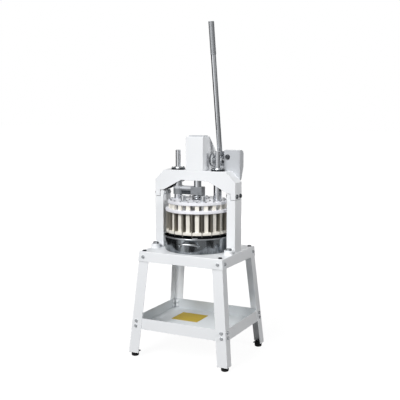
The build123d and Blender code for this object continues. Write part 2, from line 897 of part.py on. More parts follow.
tooth_angles = [180 - tooth_step * index for index in range(sector_first, sector_last + 1)]
sector_high = max(tooth_angles) + tooth_step / 2
sector_low = min(tooth_angles) - tooth_step / 2
gear_plane = shaft_plane.offset(-gear_width / 2)
with BuildPart() as gear_sector:
    with BuildSketch(gear_plane):
        with BuildLine():
            Line((0, 0), polar(root_radius, sector_low))
            ThreePointArc(
                polar(root_radius, sector_low),
                polar(root_radius, (sector_low + sector_high) / 2),
                polar(root_radius, sector_high),
            )
            Line(polar(root_radius, sector_high), (0, 0))
        make_face()
        for angle in tooth_angles:
            root_half = pitch_half + involute(pitch_radius)
            with BuildLine():
                Polyline(
                    polar(root_radius - 1, angle - root_half),
                    *flank(angle, -1),
                    *reversed(flank(angle, 1)),
                    polar(root_radius - 1, angle + root_half),
                    close=True,
                )
            make_face()
        Circle(gear_hub_radius)
    extrude(amount=gear_width)
    with BuildSketch(shaft_plane.offset(-gear_hub_width / 2)):
        Circle(gear_hub_radius)
    extrude(amount=gear_hub_width)
    with BuildSketch(shaft_plane.offset(-gear_hub_width / 2)):
        Circle(shaft_radius)
    extrude(amount=gear_hub_width, mode=Mode.SUBTRACT)
    with Locations((0, shaft_y, shaft_z + shaft_radius)):
        Box(gear_width, key_width, key_height, mode=Mode.SUBTRACT)
save(gear_sector.part, "gear_sector")

# Lever: hub, rod and grip; the rod leans towards the operator at rest
lean = math.radians(lever_lean)
lever_axis = (0, -math.sin(lean), math.cos(lean))
lever_plane = Plane(origin=(lever_x, shaft_y, shaft_z), x_dir=(1, 0, 0), z_dir=lever_axis)
screw_plane = Plane(origin=(lever_x, shaft_y, shaft_z), x_dir=(1, 0, 0), z_dir=(0, 1, 0))
with BuildPart() as lever_hub:
    with BuildSketch(shaft_plane.offset(hub_left)):
        Circle(hub_radius)
    extrude(amount=hub_width)
    chamfer(lever_hub.edges().filter_by(GeomType.CIRCLE), length=edge_break)
    with BuildSketch(shaft_plane.offset(hub_left)):
        Circle(shaft_radius)
    extrude(amount=hub_width, mode=Mode.SUBTRACT)
    with BuildSketch(lever_plane):
        Circle(rod_spigot)
    extrude(amount=2 * hub_radius, mode=Mode.SUBTRACT)
    with BuildSketch(screw_plane):
        Circle(hub_screw_radius)
    extrude(amount=2 * hub_radius, mode=Mode.SUBTRACT)
save(lever_hub.part, "lever_hub")

with BuildPart() as hub_screw:
    with BuildSketch(screw_plane.offset(shaft_radius)):
        Circle(hub_screw_radius)
    extrude(amount=hub_radius - shaft_radius)
save(hub_screw.part, "hub_screw")

grip_start = lever_length - grip_length
with BuildPart() as lever_rod:
    with BuildSketch(lever_plane.offset(shaft_radius + edge_break)):
        Circle(rod_spigot)
    extrude(amount=rod_start - shaft_radius)
    with BuildSketch(lever_plane.offset(rod_start)):
        Circle(rod_radius)
    extrude(amount=grip_start - rod_start)
    with BuildSketch(lever_plane.offset(grip_start)):
        Circle(grip_core)
    extrude(amount=grip_length - grip_end_wall)
    chamfer(lever_rod.edges().filter_by(GeomType.CIRCLE).group_by(SortBy.RADIUS)[-1], length=edge_break)
save(lever_rod.part, "lever_rod")

with BuildPart() as lever_grip:
    with BuildSketch(lever_plane.offset(grip_start)):
        Circle(grip_radius)
    extrude(amount=grip_length)
    chamfer(lever_grip.edges().filter_by(GeomType.CIRCLE), length=edge_break)
    with BuildSketch(lever_plane.offset(grip_start)):
        Circle(grip_core)
    extrude(amount=grip_length - grip_end_wall, mode=Mode.SUBTRACT)
save(lever_grip.part, "lever_grip")

# Ram: a round rack that hangs the dividing head
rack_half_gap = (tooth_pitch + backlash) / 4
flank_slope = math.tan(math.radians(pressure_angle))
rack_root = rack_pitch_line - dedendum * module
with BuildPart() as ram_rack:
    with BuildSketch(Plane.XY.offset(carrier_top)):
        Circle(ram_radius)
    extrude(amount=ram_top - carrier_top)
    with BuildSketch(Plane.XY.offset(crosshead_top)):
        Circle(ram_collar_radius)
    extrude(amount=ram_collar_top - crosshead_top)
    with BuildSketch(Plane.XY.offset(carrier_bottom - ram_nut)):
        Circle(ram_spigot)
    extrude(amount=carrier_thickness + ram_nut)
    rack_low = shaft_z + (rack_first_gap - 0.5) * tooth_pitch
    with Locations((0, rack_flat, rack_low)):
        Box(
            2 * ram_radius,
            ram_radius,
            ram_top - rack_low,
            align=(Align.CENTER, Align.MIN, Align.MIN),
            mode=Mode.SUBTRACT,
        )
    with BuildSketch(Plane.YZ.offset(-ram_radius)):
        for index in range(rack_first_gap, rack_last_gap + 1):
            gap_z = shaft_z + index * tooth_pitch
            wide = rack_half_gap + flank_slope * (ram_radius - rack_pitch_line)
            narrow = rack_half_gap - flank_slope * (rack_pitch_line - rack_root)
            with BuildLine():
                Polyline(
                    (ram_radius, gap_z - wide),
                    (rack_root, gap_z - narrow),
                    (rack_root, gap_z + narrow),
                    (ram_radius, gap_z + wide),
                    close=True,
                )
            make_face()
    extrude(amount=2 * ram_radius, mode=Mode.SUBTRACT)
save(ram_rack.part, "ram_rack")

with BuildPart() as ram_nut_part:
    with BuildSketch(Plane.XY.offset(carrier_bottom - ram_nut)):
        RegularPolygon(ram_nut_flats / 2, 6, major_radius=False)
        Circle(ram_spigot, mode=Mode.SUBTRACT)
    extrude(amount=ram_nut)
save(ram_nut_part.part, "ram_nut")

# Crosshead: clamps the ram and, through its ribbed round arm, the left guide rod
with BuildPart() as crosshead:
    with Locations((0, 0, crosshead_bottom)):
        Box(
            crosshead_width,
            crosshead_depth,
            crosshead_height,
            align=(Align.CENTER, Align.CENTER, Align.MIN),
        )
    fillet(crosshead.edges().filter_by(Axis.Z), radius=crosshead_round)
    with BuildSketch(Plane(origin=(-guide_x, 0, arm_z), x_dir=(0, 1, 0), z_dir=(1, 0, 0))):
        Circle(arm_radius)
    extrude(amount=guide_x - crosshead_width / 2 + arm_seat)
    with Locations((-guide_x, 0, crosshead_bottom)):
        Box(
            guide_x - crosshead_width / 2 + arm_seat,
            arm_web,
            arm_lift,
            align=(Align.MIN, Align.CENTER, Align.MIN),
        )
    with BuildSketch(Plane.XY.offset(crosshead_bottom)):
        with Locations((-guide_x, 0)):
            Circle(arm_end_radius)
    extrude(amount=arm_end_height)
    with BuildSketch(Plane.XY.offset(crosshead_bottom)):
        Circle(ram_radius)
        with Locations((-guide_x, 0)):
            Circle(sleeve_radius)
    extrude(amount=2 * arm_end_height, mode=Mode.SUBTRACT)
    screw_spots = [
        Location((x, crosshead_depth / 2, crosshead_bottom + crosshead_height / 2), (90, 0, 0))
        for x in (-crosshead_screw_x, crosshead_screw_x)
    ]
    with Locations(*screw_spots):
        Cylinder(screw_radius, 2 * screw_length, mode=Mode.SUBTRACT)
save(crosshead.part, "crosshead")

crosshead_screw_planes = [
    Plane(
        origin=(x, crosshead_depth / 2, crosshead_bottom + crosshead_height / 2),
        x_dir=(1, 0, 0),
        z_dir=(0, 1, 0),
    )
    for x in (-crosshead_screw_x, crosshead_screw_x)
]
with BuildPart() as crosshead_screws:
    with BuildSketch(*crosshead_screw_planes):
        Circle(screw_head_radius)
    extrude(amount=screw_head)
    with BuildSketch(*crosshead_screw_planes):
        Circle(screw_radius)
    extrude(amount=-screw_length)
    with BuildSketch(*[plane.offset(screw_head / 2) for plane in crosshead_screw_planes]):
        RegularPolygon(screw_socket, 6, major_radius=False)
    extrude(amount=screw_head, mode=Mode.SUBTRACT)
save(crosshead_screws.part, "crosshead_screws")

# Places on the head: one ring of stems for each ring of knife cells, and the guide
# posts half way between the middle and the outer stems
inner_place = (*inner_stem, inner_ring_radius - inner_stem_inset)
middle_place = (*middle_stem, outer_ring_radius - middle_stem_inset)
outer_place = (*outer_stem, drum_radius - outer_stem_inset)
rings = (
    (inner_count, inner_place, 0, inner_ring_radius),
    (middle_count, middle_place, inner_ring_radius, outer_ring_radius),
    (outer_count, outer_place, outer_ring_radius, drum_radius),
)
middle_edge = middle_place[2] + middle_place[0] / 2
outer_edge = outer_place[2] - outer_place[0] / 2
post_circle = (middle_edge + outer_edge) / 2
guide_post_spots = [polar(post_circle, angle) for angle in post_angles]

# Guide rods with their sleeves, and guide posts, seated in blind bores of the knife carrier
seat_z = carrier_top - seat_depth
for name, side in (("left", -1), ("right", 1)):
    with BuildPart() as guide_rod:
        with BuildSketch(Plane.XY.offset(seat_z)):
            with Locations((side * guide_x, 0)):
                Circle(guide_radius)
        extrude(amount=guide_top - seat_z)
        chamfer(guide_rod.edges().group_by(Axis.Z)[-1], length=rod_chamfer)
        with BuildSketch(Plane.XY.offset(carrier_top)):
            with Locations((side * guide_x, 0)):
                Circle(sleeve_radius)
        extrude(amount=sleeve_top - carrier_top)
    save(guide_rod.part, f"{name}_guide_rod")

with BuildPart() as guide_posts:
    with BuildSketch(Plane.XY.offset(seat_z)):
        with Locations(*guide_post_spots):
            Circle(post_rod_radius)
    extrude(amount=post_top - seat_z)
    chamfer(guide_posts.edges().group_by(Axis.Z)[-1], length=post_chamfer)
    with BuildSketch(Plane.XY.offset(carrier_top)):
        with Locations(*guide_post_spots):
            Circle(post_shoulder)
    extrude(amount=press_bottom - carrier_top)
save(guide_posts.part, "guide_posts")

# Knife carrier: the middle disc of the head, slotted for the plunger stems
with BuildPart() as knife_carrier:
    with BuildSketch(Plane.XY.offset(carrier_bottom)):
        Circle(carrier_radius)
        Circle(ram_spigot, mode=Mode.SUBTRACT)
        for count, (stem_r, stem_t, stem_at), ring_in, ring_out in rings:
            with PolarLocations(stem_at, count, start_angle=180 / count + cell_turn):
                Rectangle(stem_r + 2 * stem_clearance, stem_t + 2 * stem_clearance, mode=Mode.SUBTRACT)
    extrude(amount=carrier_thickness)
    fillet(knife_carrier.edges().filter_by(GeomType.CIRCLE).sort_by(SortBy.RADIUS)[-2:], radius=press_round)
    with BuildSketch(Plane.XY.offset(seat_z)):
        with PolarLocations(guide_x, 2):
            Circle(guide_radius)
        with Locations(*guide_post_spots):
            Circle(post_rod_radius)
    extrude(amount=carrier_thickness, mode=Mode.SUBTRACT)
save(knife_carrier.part, "knife_carrier")

# Knives: two rings and the radial blades between them
half_knife = knife_thickness / 2
for name, radius in (("inner", inner_ring_radius), ("outer", outer_ring_radius)):
    with BuildPart() as knife_ring:
        with BuildSketch(Plane.XY.offset(knife_bottom)):
            Circle(radius + half_knife)
            Circle(radius - half_knife, mode=Mode.SUBTRACT)
        extrude(amount=carrier_bottom - knife_bottom)
    save(knife_ring.part, f"{name}_knife_ring")

knife_zones = (
    (inner_count, 0, inner_ring_radius - half_knife, inner_knife_top),
    (middle_count, inner_ring_radius + half_knife, outer_ring_radius - half_knife, carrier_bottom),
    (outer_count, outer_ring_radius + half_knife, drum_radius, carrier_bottom),
)
with BuildPart() as radial_knives:
    for count, zone_in, zone_out, top in knife_zones:
        with BuildSketch(Plane.XY.offset(knife_bottom)):
            with PolarLocations(0, count, start_angle=cell_turn):
                Rectangle(2 * drum_radius, knife_thickness, align=(Align.MIN, Align.CENTER))
            if zone_in > 0:
                Circle(zone_in, mode=Mode.SUBTRACT)
            Circle(zone_out, mode=Mode.INTERSECT)
        extrude(amount=top - knife_bottom)
save(radial_knives.part, "radial_knives")

# Press plate: slides on the guide posts, with a cup for the press spring
with BuildPart() as press_plate:
    with BuildSketch(Plane.XY.offset(press_bottom)):
        Circle(press_radius)
    extrude(amount=press_thickness)
    fillet(press_plate.edges().filter_by(GeomType.CIRCLE), radius=press_round)
    with BuildSketch(Plane.XY.offset(cup_bottom)):
        Circle(cup_radius + cup_wall)
    extrude(amount=press_bottom - cup_bottom)
    with BuildSketch(Plane.XY.offset(cup_bottom + cup_wall)):
        Circle(cup_radius)
    extrude(amount=press_top - cup_bottom, mode=Mode.SUBTRACT)
    with BuildSketch(Plane.XY.offset(cup_bottom)):
        Circle(ram_radius + stem_clearance)
    extrude(amount=press_top - cup_bottom, mode=Mode.SUBTRACT)
    with BuildSketch(Plane.XY.offset(press_bottom)):
        with PolarLocations(guide_x, 2):
            Circle(sleeve_radius + rod_hole_clearance)
        with Locations(*guide_post_spots):
            Circle(post_rod_radius + press_clearance)
        for count, (stem_r, stem_t, stem_at), ring_in, ring_out in rings:
            with PolarLocations(stem_at, count, start_angle=180 / count + cell_turn):
                Circle(plunger_screw_radius)
    extrude(amount=press_thickness, mode=Mode.SUBTRACT)
save(press_plate.part, "press_plate")

# Plungers: sector feet between the knives, each on a stem up to the press plate
foot_bottom = knife_bottom + foot_lift
foot_top = foot_bottom + foot_thickness
knife_slot = knife_thickness + 2 * knife_gap
for name, (count, (stem_r, stem_t, stem_at), ring_in, ring_out) in zip(("inner", "middle", "outer"), rings):
    foot_out = ring_out if ring_out == drum_radius else ring_out - half_knife - knife_gap
    with BuildPart() as plungers:
        with BuildSketch(Plane.XY.offset(foot_bottom)):
            Circle(foot_out)
            if ring_in > 0:
                Circle(ring_in + half_knife + knife_gap, mode=Mode.SUBTRACT)
            with PolarLocations(0, count, start_angle=cell_turn):
                Rectangle(2 * drum_radius, knife_slot, align=(Align.MIN, Align.CENTER), mode=Mode.SUBTRACT)
        extrude(amount=foot_thickness)
        with BuildSketch(Plane.XY.offset(foot_top)):
            with PolarLocations(stem_at, count, start_angle=180 / count + cell_turn):
                Rectangle(stem_r, stem_t)
        extrude(amount=press_bottom - foot_top)
        with BuildSketch(Plane.XY.offset(press_bottom - plunger_screw_bite)):
            with PolarLocations(stem_at, count, start_angle=180 / count + cell_turn):
                Circle(plunger_screw_radius)
        extrude(amount=plunger_screw_bite, mode=Mode.SUBTRACT)
    save(plungers.part, f"{name}_plungers")

with BuildPart() as plunger_screws:
    for count, (stem_r, stem_t, stem_at), ring_in, ring_out in rings:
        with BuildSketch(Plane.XY.offset(press_top)):
            with PolarLocations(stem_at, count, start_angle=180 / count + cell_turn):
                Circle(plunger_screw_head_radius)
        extrude(amount=plunger_screw_head)
        with BuildSketch(Plane.XY.offset(press_bottom - plunger_screw_bite)):
            with PolarLocations(stem_at, count, start_angle=180 / count + cell_turn):
                Circle(plunger_screw_radius)
        extrude(amount=plunger_screw_bite + press_thickness)
save(plunger_screws.part, "plunger_screws")

# Press spring: one round wire wound between the cup and the crosshead
spring_low = cup_bottom + cup_wall + spring_wire + spring_seat_gap
spring_high = crosshead_bottom - spring_wire - spring_seat_gap
spring_rise = (spring_high - spring_low) / (spring_quarters * math.pi / 2)


def spring_point(turn):
    return Vector(
        spring_radius * math.cos(turn), spring_radius * math.sin(turn), spring_low + spring_rise * turn
    )


def spring_tangent(turn):
    return Vector(-spring_radius * math.sin(turn), spring_radius * math.cos(turn), spring_rise).normalized()


with BuildPart() as press_spring:
    with BuildLine() as spring_path:
        for quarter in range(spring_quarters):
            start = spring_point(quarter * math.pi / 2)
            end = spring_point((quarter + 1) * math.pi / 2)
            start_way = spring_tangent(quarter * math.pi / 2)
            end_way = spring_tangent((quarter + 1) * math.pi / 2)
            across = end - start
            ways = start_way + end_way
            spread = 2 * (1 - start_way.dot(end_way))
            along = across.dot(ways)
            reach = (math.sqrt(along**2 + spread * across.dot(across)) - along) / spread
            joint = (start + end + (start_way - end_way) * reach) * 0.5
            joint_way = across - ways * reach
            TangentArc(start, joint, tangent=start_way)
            TangentArc(joint, end, tangent=joint_way)
    with BuildSketch(Plane(origin=spring_point(0), z_dir=spring_tangent(0))):
        Circle(spring_wire)
    sweep(path=spring_path.line)
save(press_spring.part, "press_spring")

spring_samples = [spring_point(step * math.pi / 24) for step in range(spring_quarters * 12 + 1)]
spring_gap = min(
    (spring_samples[a] - spring_samples[b]).length - 2 * spring_wire
    for a in range(len(spring_samples))
    for b in range(a + 24, len(spring_samples))
)
print(f"press spring: least gap to itself {spring_gap:.2f} mm")

# Spring housing behind the right shoulder of the arch; its back runs on as a guard behind the hub
housing_front = arch_back
housing_back = housing_front + housing_depth


def housing_straights(inset):
    back = housing_back - inset
    high = housing_top - inset
    bend = housing_round - inset
    return (
        (back, high - bend),
        (back, housing_taper_z),
        (housing_front + housing_taper_depth - inset, housing_bottom + inset),
        (housing_front + inset, housing_bottom + inset),
        (housing_front + inset, high),
        (back - bend, high),
    )


def housing_bend(inset):
    back = housing_back - inset
    high = housing_top - inset
    bend = housing_round - inset
    middle = (1 - math.sqrt(0.5)) * bend
    return ((back - bend, high), (back - middle, high - middle), (back, high - bend))


front_bolt_spot = (front_bolt_x, housing_front, front_bolt_z)
front_bolt_plane = Plane(origin=front_bolt_spot, x_dir=(1, 0, 0), z_dir=(0, -1, 0))
with BuildPart() as spring_housing:
    for inset, mode in ((0, Mode.ADD), (housing_wall, Mode.SUBTRACT)):
        with BuildSketch(Plane.YZ.offset(housing_left + inset)):
            with BuildLine():
                Polyline(*housing_straights(inset))
                ThreePointArc(*housing_bend(inset))
            make_face()
        extrude(amount=housing_right - housing_wall - housing_left, mode=mode)
    with BuildSketch(shaft_plane.offset(housing_left)):
        Circle(journal_radius + running_clearance)
    extrude(amount=housing_wall, mode=Mode.SUBTRACT)
    with Locations(*[Location((x, housing_front, z), (90, 0, 0)) for x, z in housing_bolt_places]):
        Cylinder(housing_bolt_radius, 4 * housing_wall, mode=Mode.SUBTRACT)
    with Locations(front_bolt_plane):
        Cylinder(front_bolt_radius, 4 * housing_wall, mode=Mode.SUBTRACT)
    with BuildSketch(Plane.YZ.offset(guard_left)):
        for inset, mode in ((0, Mode.ADD), (guard_sheet, Mode.SUBTRACT)):
            with BuildLine():
                Polyline(*housing_straights(inset))
                ThreePointArc(*housing_bend(inset))
            make_face(mode=mode)
        with Locations((housing_front, housing_taper_z)):
            Rectangle(2 * guard_front, 2 * (housing_top - housing_bottom), mode=Mode.SUBTRACT)
    extrude(amount=housing_left - guard_left)
save(spring_housing.part, "spring_housing")

with BuildPart() as housing_cover:
    with BuildSketch(Plane.YZ.offset(housing_right - housing_wall)):
        with BuildLine():
            Polyline(*housing_straights(0))
            ThreePointArc(*housing_bend(0))
        make_face()
    extrude(amount=housing_wall)
    with BuildSketch(shaft_plane.offset(housing_right - housing_wall)):
        Circle(return_spring_radius)
    extrude(amount=-cover_boss)
    with BuildSketch(shaft_plane.offset(housing_right - housing_wall - cover_boss)):
        Circle(journal_radius + running_clearance)
    extrude(amount=cover_boss, mode=Mode.SUBTRACT)
save(housing_cover.part, "housing_cover")

housing_bolt_planes = [
    Plane(origin=(x, housing_front + housing_wall, z), x_dir=(1, 0, 0), z_dir=(0, 1, 0))
    for x, z in housing_bolt_places
]
with BuildPart() as housing_bolts:
    with BuildSketch(*housing_bolt_planes):
        RegularPolygon(bolt_flats / 2, 6, major_radius=False)
    extrude(amount=housing_bolt_head)
    with BuildSketch(*housing_bolt_planes):
        Circle(housing_bolt_radius)
    extrude(amount=-housing_wall - arch_wall)
save(housing_bolts.part, "housing_bolts")

with BuildPart() as front_bolt:
    with BuildSketch(front_bolt_plane):
        RegularPolygon(front_bolt_flats / 2, 6, major_radius=False)
    extrude(amount=front_bolt_head)
    with BuildSketch(front_bolt_plane):
        Circle(front_bolt_radius)
    extrude(amount=-2 * housing_wall)
save(front_bolt.part, "front_bolt")

with BuildPart() as return_spring:
    with BuildSketch(shaft_plane.offset(housing_right - housing_wall - cover_boss)):
        Circle(return_spring_radius)
        Circle(return_spring_bore, mode=Mode.SUBTRACT)
    extrude(amount=-return_spring_length)
save(return_spring.part, "return_spring")

# Pan: a spun bowl with a rolled rim and one loop handle
pan_base = table_height + pan_float
rim_height = pan_base + pan_height
corner_height = pan_base + pan_corner
inner_corner = pan_corner - pan_wall
arc_middle = 1 - math.sqrt(0.5)
with BuildPart() as pan:
    with BuildSketch(Plane.XZ):
        with BuildLine():
            Polyline((0, pan_base + pan_wall), (0, pan_base), (pan_radius - pan_corner, pan_base))
            ThreePointArc(
                (pan_radius - pan_corner, pan_base),
                (pan_radius - pan_corner * arc_middle, pan_base + pan_corner * arc_middle),
                (pan_radius, corner_height),
            )
            Polyline(
                (pan_radius, corner_height),
                (pan_radius + pan_flare, rim_height),
                (rim_inner, rim_height),
                (pan_radius - pan_wall, corner_height),
            )
            ThreePointArc(
                (pan_radius - pan_wall, corner_height),
                (
                    pan_radius - pan_wall - inner_corner * arc_middle,
                    pan_base + pan_wall + inner_corner * arc_middle,
                ),
                (pan_radius - pan_corner, pan_base + pan_wall),
            )
            Line((pan_radius - pan_corner, pan_base + pan_wall), (0, pan_base + pan_wall))
        make_face()
        with Locations((rim_inner + rim_bead, rim_height)):
            Circle(rim_bead)
    revolve(axis=Axis.Z)
    tab_plane = Plane.XY.offset(rim_height).rotated((0, 0, tab_turn - 90))
    with Locations(tab_plane):
        with Locations((rim_inner + rim_bead, 0, 0)):
            Box(tab_sheet, tab_width, tab_height, align=(Align.CENTER, Align.CENTER, Align.MIN))
save(pan.part, "pan")

# The handle lies in a plane that rises outwards; its ends are coped to the pan wall
handle_base = Plane(
    origin=(0, 0, pan_base + handle_height),
    x_dir=(math.cos(math.radians(handle_turn)), math.sin(math.radians(handle_turn)), 0),
    z_dir=(0, 0, 1),
)
rise = math.radians(handle_rise)
out_flat = handle_base.y_dir * -1
out_way = out_flat * math.cos(rise) + Vector(0, 0, math.sin(rise))
wall_height = pan_height - pan_corner
wall_radius = pan_radius + pan_flare * (handle_height - pan_corner) / wall_height
wall_at_end = math.sqrt(wall_radius**2 - (handle_width / 2) ** 2)
handle_origin = handle_base.origin + out_flat * wall_at_end
handle_plane = Plane(origin=handle_origin, x_dir=handle_base.x_dir, z_dir=handle_base.x_dir.cross(out_way))
half_handle = handle_width / 2
with BuildPart() as pan_handle:
    with BuildLine(handle_plane) as handle_path:
        FilletPolyline(
            (-half_handle, -2 * handle_radius),
            (-half_handle, handle_reach),
            (half_handle, handle_reach),
            (half_handle, -2 * handle_radius),
            radius=handle_bend,
        )
    with BuildSketch(Plane(origin=handle_path.line @ 0, z_dir=handle_path.line % 0)):
        Circle(handle_radius)
    sweep(path=handle_path.line)
    with Locations((0, 0, corner_height)):
        Cone(
            pan_radius,
            pan_radius + pan_flare,
            wall_height,
            align=(Align.CENTER, Align.CENTER, Align.MIN),
            mode=Mode.SUBTRACT,
        )
save(pan_handle.part, "pan_handle")
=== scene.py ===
import json
import math

import bmesh
import bpy
from mathutils import Matrix, Vector


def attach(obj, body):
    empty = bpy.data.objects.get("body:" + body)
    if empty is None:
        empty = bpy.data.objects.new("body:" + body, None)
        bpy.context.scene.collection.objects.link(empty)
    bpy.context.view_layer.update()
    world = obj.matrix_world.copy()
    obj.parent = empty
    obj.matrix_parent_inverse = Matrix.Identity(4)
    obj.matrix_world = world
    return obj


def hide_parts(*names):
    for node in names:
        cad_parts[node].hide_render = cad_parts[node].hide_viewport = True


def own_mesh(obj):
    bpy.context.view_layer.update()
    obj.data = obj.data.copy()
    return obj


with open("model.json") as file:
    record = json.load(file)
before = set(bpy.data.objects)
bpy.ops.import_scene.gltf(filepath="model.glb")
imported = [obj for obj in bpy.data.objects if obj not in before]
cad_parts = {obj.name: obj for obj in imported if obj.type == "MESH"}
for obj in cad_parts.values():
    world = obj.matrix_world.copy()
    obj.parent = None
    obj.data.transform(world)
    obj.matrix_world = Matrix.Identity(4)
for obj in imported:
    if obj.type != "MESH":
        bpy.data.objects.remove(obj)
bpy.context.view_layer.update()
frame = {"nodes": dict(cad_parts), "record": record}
nodes = frame["nodes"]
slotOf = {row["node"]: row["material_slot"] for row in frame["record"]["subparts"]}
mm = 0.001
upAxis = Vector((0, 0, 1))
guideX = 107  # the two guide rods stand this far from the middle
shaftY, shaftZ = 57, 949  # axis of the lever's shaft
corners = [(-1, -1), (1, -1), (-1, 1), (1, 1)]
along = 0.9  # cosine from which a direction counts as lying along an axis


def linear(hexColour):
    channels = [int(hexColour[i:i + 2], 16) / 255 for i in (1, 3, 5)]
    return tuple(c / 12.92 if c <= 0.04045 else ((c + 0.055) / 1.055) ** 2.4 for c in channels) + (1.0,)


def addNode(tree, kind, links=None, **settings):
    node = tree.nodes.new(kind)
    for name, value in settings.items():
        if name in node.inputs:
            node.inputs[name].default_value = value
        else:
            setattr(node, name, value)
    for name, source in (links or {}).items():
        tree.links.new(source, node.inputs[name])
    return node


def grain(millimetres):  # noise scale for a grain of that real size
    return 1 / (millimetres * mm)


def latheRings(tree, place):  # runs outwards and upwards, so that a grain on it turns into rings
    spot = addNode(tree, "ShaderNodeSeparateXYZ", {"Vector": place})
    x, y = spot.outputs["X"], spot.outputs["Y"]
    square = addNode(tree, "ShaderNodeMath", {0: x, 1: x}, operation="MULTIPLY")
    both = addNode(tree, "ShaderNodeMath", {0: y, 1: y, 2: square.outputs[0]}, operation="MULTIPLY_ADD")
    away = addNode(tree, "ShaderNodeMath", {0: both.outputs[0]}, operation="SQRT")
    ringSpot = addNode(tree, "ShaderNodeCombineXYZ", {"X": away.outputs[0], "Z": spot.outputs["Z"]})
    return ringSpot.outputs["Vector"]


# A finish is two tones in a grain of a real size. Its shine and its skin follow that grain or one of their own.
# Grains are (millimetres, detail), shine is the range of roughness, skin is (strength, depth in millimetres).
def makeFinish(name, look):
    material = bpy.data.materials.new(name)
    material.use_nodes = True
    tree = material.node_tree
    shader = tree.nodes["Principled BSDF"]
    for key, socket in (("metallic", "Metallic"), ("roughness", "Roughness"), ("specular", "Specular IOR Level")):
        if key in look:
            shader.inputs[socket].default_value = look[key]
    place = addNode(tree, "ShaderNodeTexCoord").outputs["Object"]
    if "stretch" in look:
        place = addNode(tree, "ShaderNodeMapping", {"Vector": place}, Scale=look["stretch"]).outputs["Vector"]
    if look.get("turned"):
        place = latheRings(tree, place)
    noise = {}
    for use, (size, detail) in look["grain"].items():
        spots = addNode(tree, "ShaderNodeTexNoise", {"Vector": place}, Scale=grain(size), Detail=detail)
        noise[use] = spots.outputs["Fac"]
    light, dark = look["tones"]
    tone = addNode(tree, "ShaderNodeMixRGB", {"Fac": noise["tones"]}, Color1=linear(light), Color2=linear(dark))
    tree.links.new(tone.outputs["Color"], shader.inputs["Base Color"])
    if "shine" in look:
        low, high = look["shine"]
        source = noise.get("shine", noise["tones"])
        shine = addNode(tree, "ShaderNodeMapRange", {"Value": source}, **{"To Min": low, "To Max": high})
        tree.links.new(shine.outputs["Result"], shader.inputs["Roughness"])
    if "skin" in look:
        strength, depth = look["skin"]
        source = noise.get("skin", noise["tones"])
        skin = addNode(tree, "ShaderNodeBump", {"Height": source}, Strength=strength, Distance=depth * mm)
        tree.links.new(skin.outputs["Normal"], shader.inputs["Normal"])
    return material


# Baked enamel on sheet steel: a hard pale skin with faint orange peel and a soft, broad shine
enamel = {"metallic": 0, "roughness": 0.36, "tones": ("#F0F2F4", "#E8EAED"), "shine": (0.27, 0.46),
          "skin": (0.05, 0.2), "grain": {"tones": (140, 3), "shine": (35, 4), "skin": (2.2, 1)}}
whiteEnamel = makeFinish("baked_white_enamel", enamel)

# The same enamel inside the shelf, greyer as painted shade from the table above it, and rougher, with no shine left
shelfShade = {"metallic": 0, "roughness": 0.55, "tones": ("#D6DADC", "#C9CDD0"), "skin": (0.06, 0.2),
            "grain": {"tones": (90, 4), "skin": (2.5, 3)}}
shadedShelfEnamel = makeFinish("white_enamel_painted_shelf_shade", shelfShade)

# The same enamel in a pale grey, as sprayed over the spring housing and the cap
paleGrey = {"metallic": 0, "roughness": 0.38, "tones": ("#BFC2C6", "#B3B6BA"), "skin": (0.05, 0.2),
            "grain": {"tones": (60, 3), "skin": (2.2, 1)}}
greyEnamel = makeFinish("baked_grey_enamel", paleGrey)

# Painted shade on the arch's underside and inside its hollow: dark and dull
archShade = {"metallic": 0, "roughness": 0.8, "tones": ("#2B2C2E", "#3A3B3D"), "skin": (0.3, 0.5),
          "grain": {"tones": (3, 5)}}
archShadeDark = makeFinish("arch_underside_painted_shade", archShade)

# Moulded rubber: near black, dull, with a tooth that is drawn coarse enough to show
rubber = {"metallic": 0, "roughness": 0.8, "tones": ("#0A0A0B", "#141415"), "skin": (0.25, 0.2),
          "grain": {"tones": (1.2, 4)}, "specular": 0.25}
blackRubber = makeFinish("moulded_black_rubber", rubber)

# Zinc plating on cold-headed bolts: a grey, slightly cloudy metal
zinc = {"metallic": 1, "roughness": 0.34, "tones": ("#B7BABD", "#8C8F92"), "shine": (0.24, 0.46),
        "grain": {"tones": (5, 4)}}
zincSteel = makeFinish("zinc_plated_steel", zinc)

# Black oxide on turned steel: dark, oily, with paler rubbed patches
blackened = {"metallic": 1, "roughness": 0.4, "tones": ("#2C2E31", "#5A5D61"), "shine": (0.3, 0.55),
             "grain": {"tones": (8, 5)}}
blackSteel = makeFinish("black_oxide_steel", blackened)

# Gold anodised aluminium sheet, brushed one way before dyeing: straight lines across the plate,
# drawn coarse enough to show
gilt = {"metallic": 0.35, "roughness": 0.5, "tones": ("#CBB028", "#A38814"), "shine": (0.44, 0.6),
        "skin": (0.08, 0.1), "grain": {"tones": (1.4, 3)}, "stretch": (1 / 40, 1, 1)}
goldSheet = makeFinish("gold_anodised_aluminium", gilt)

# Hard chrome on ground rods: mirror bright, with grinding rings round the rod, drawn coarse enough to show
chrome = {"metallic": 1, "roughness": 0.12, "tones": ("#D9DBDE", "#C3C6CA"), "shine": (0.07, 0.2),
          "grain": {"tones": (1.5, 3)}, "stretch": (0.05, 0.05, 1)}
hardChrome = makeFinish("ground_hard_chrome", chrome)

# Knurled steel grip: satin grey, its tone drifting a little at random
knurled = {"metallic": 1, "roughness": 0.5, "tones": ("#AEB0B3", "#9A9DA0"), "grain": {"tones": (12, 4)}}
knurledSteel = makeFinish("knurled_steel", knurled)

# Cast bronze bush: brown gold, turned, half dull
bronzeTone = {"metallic": 1, "roughness": 0.36, "tones": ("#A07A45", "#7A5A30"), "grain": {"tones": (6, 4)}}
bronze = makeFinish("turned_bronze", bronzeTone)

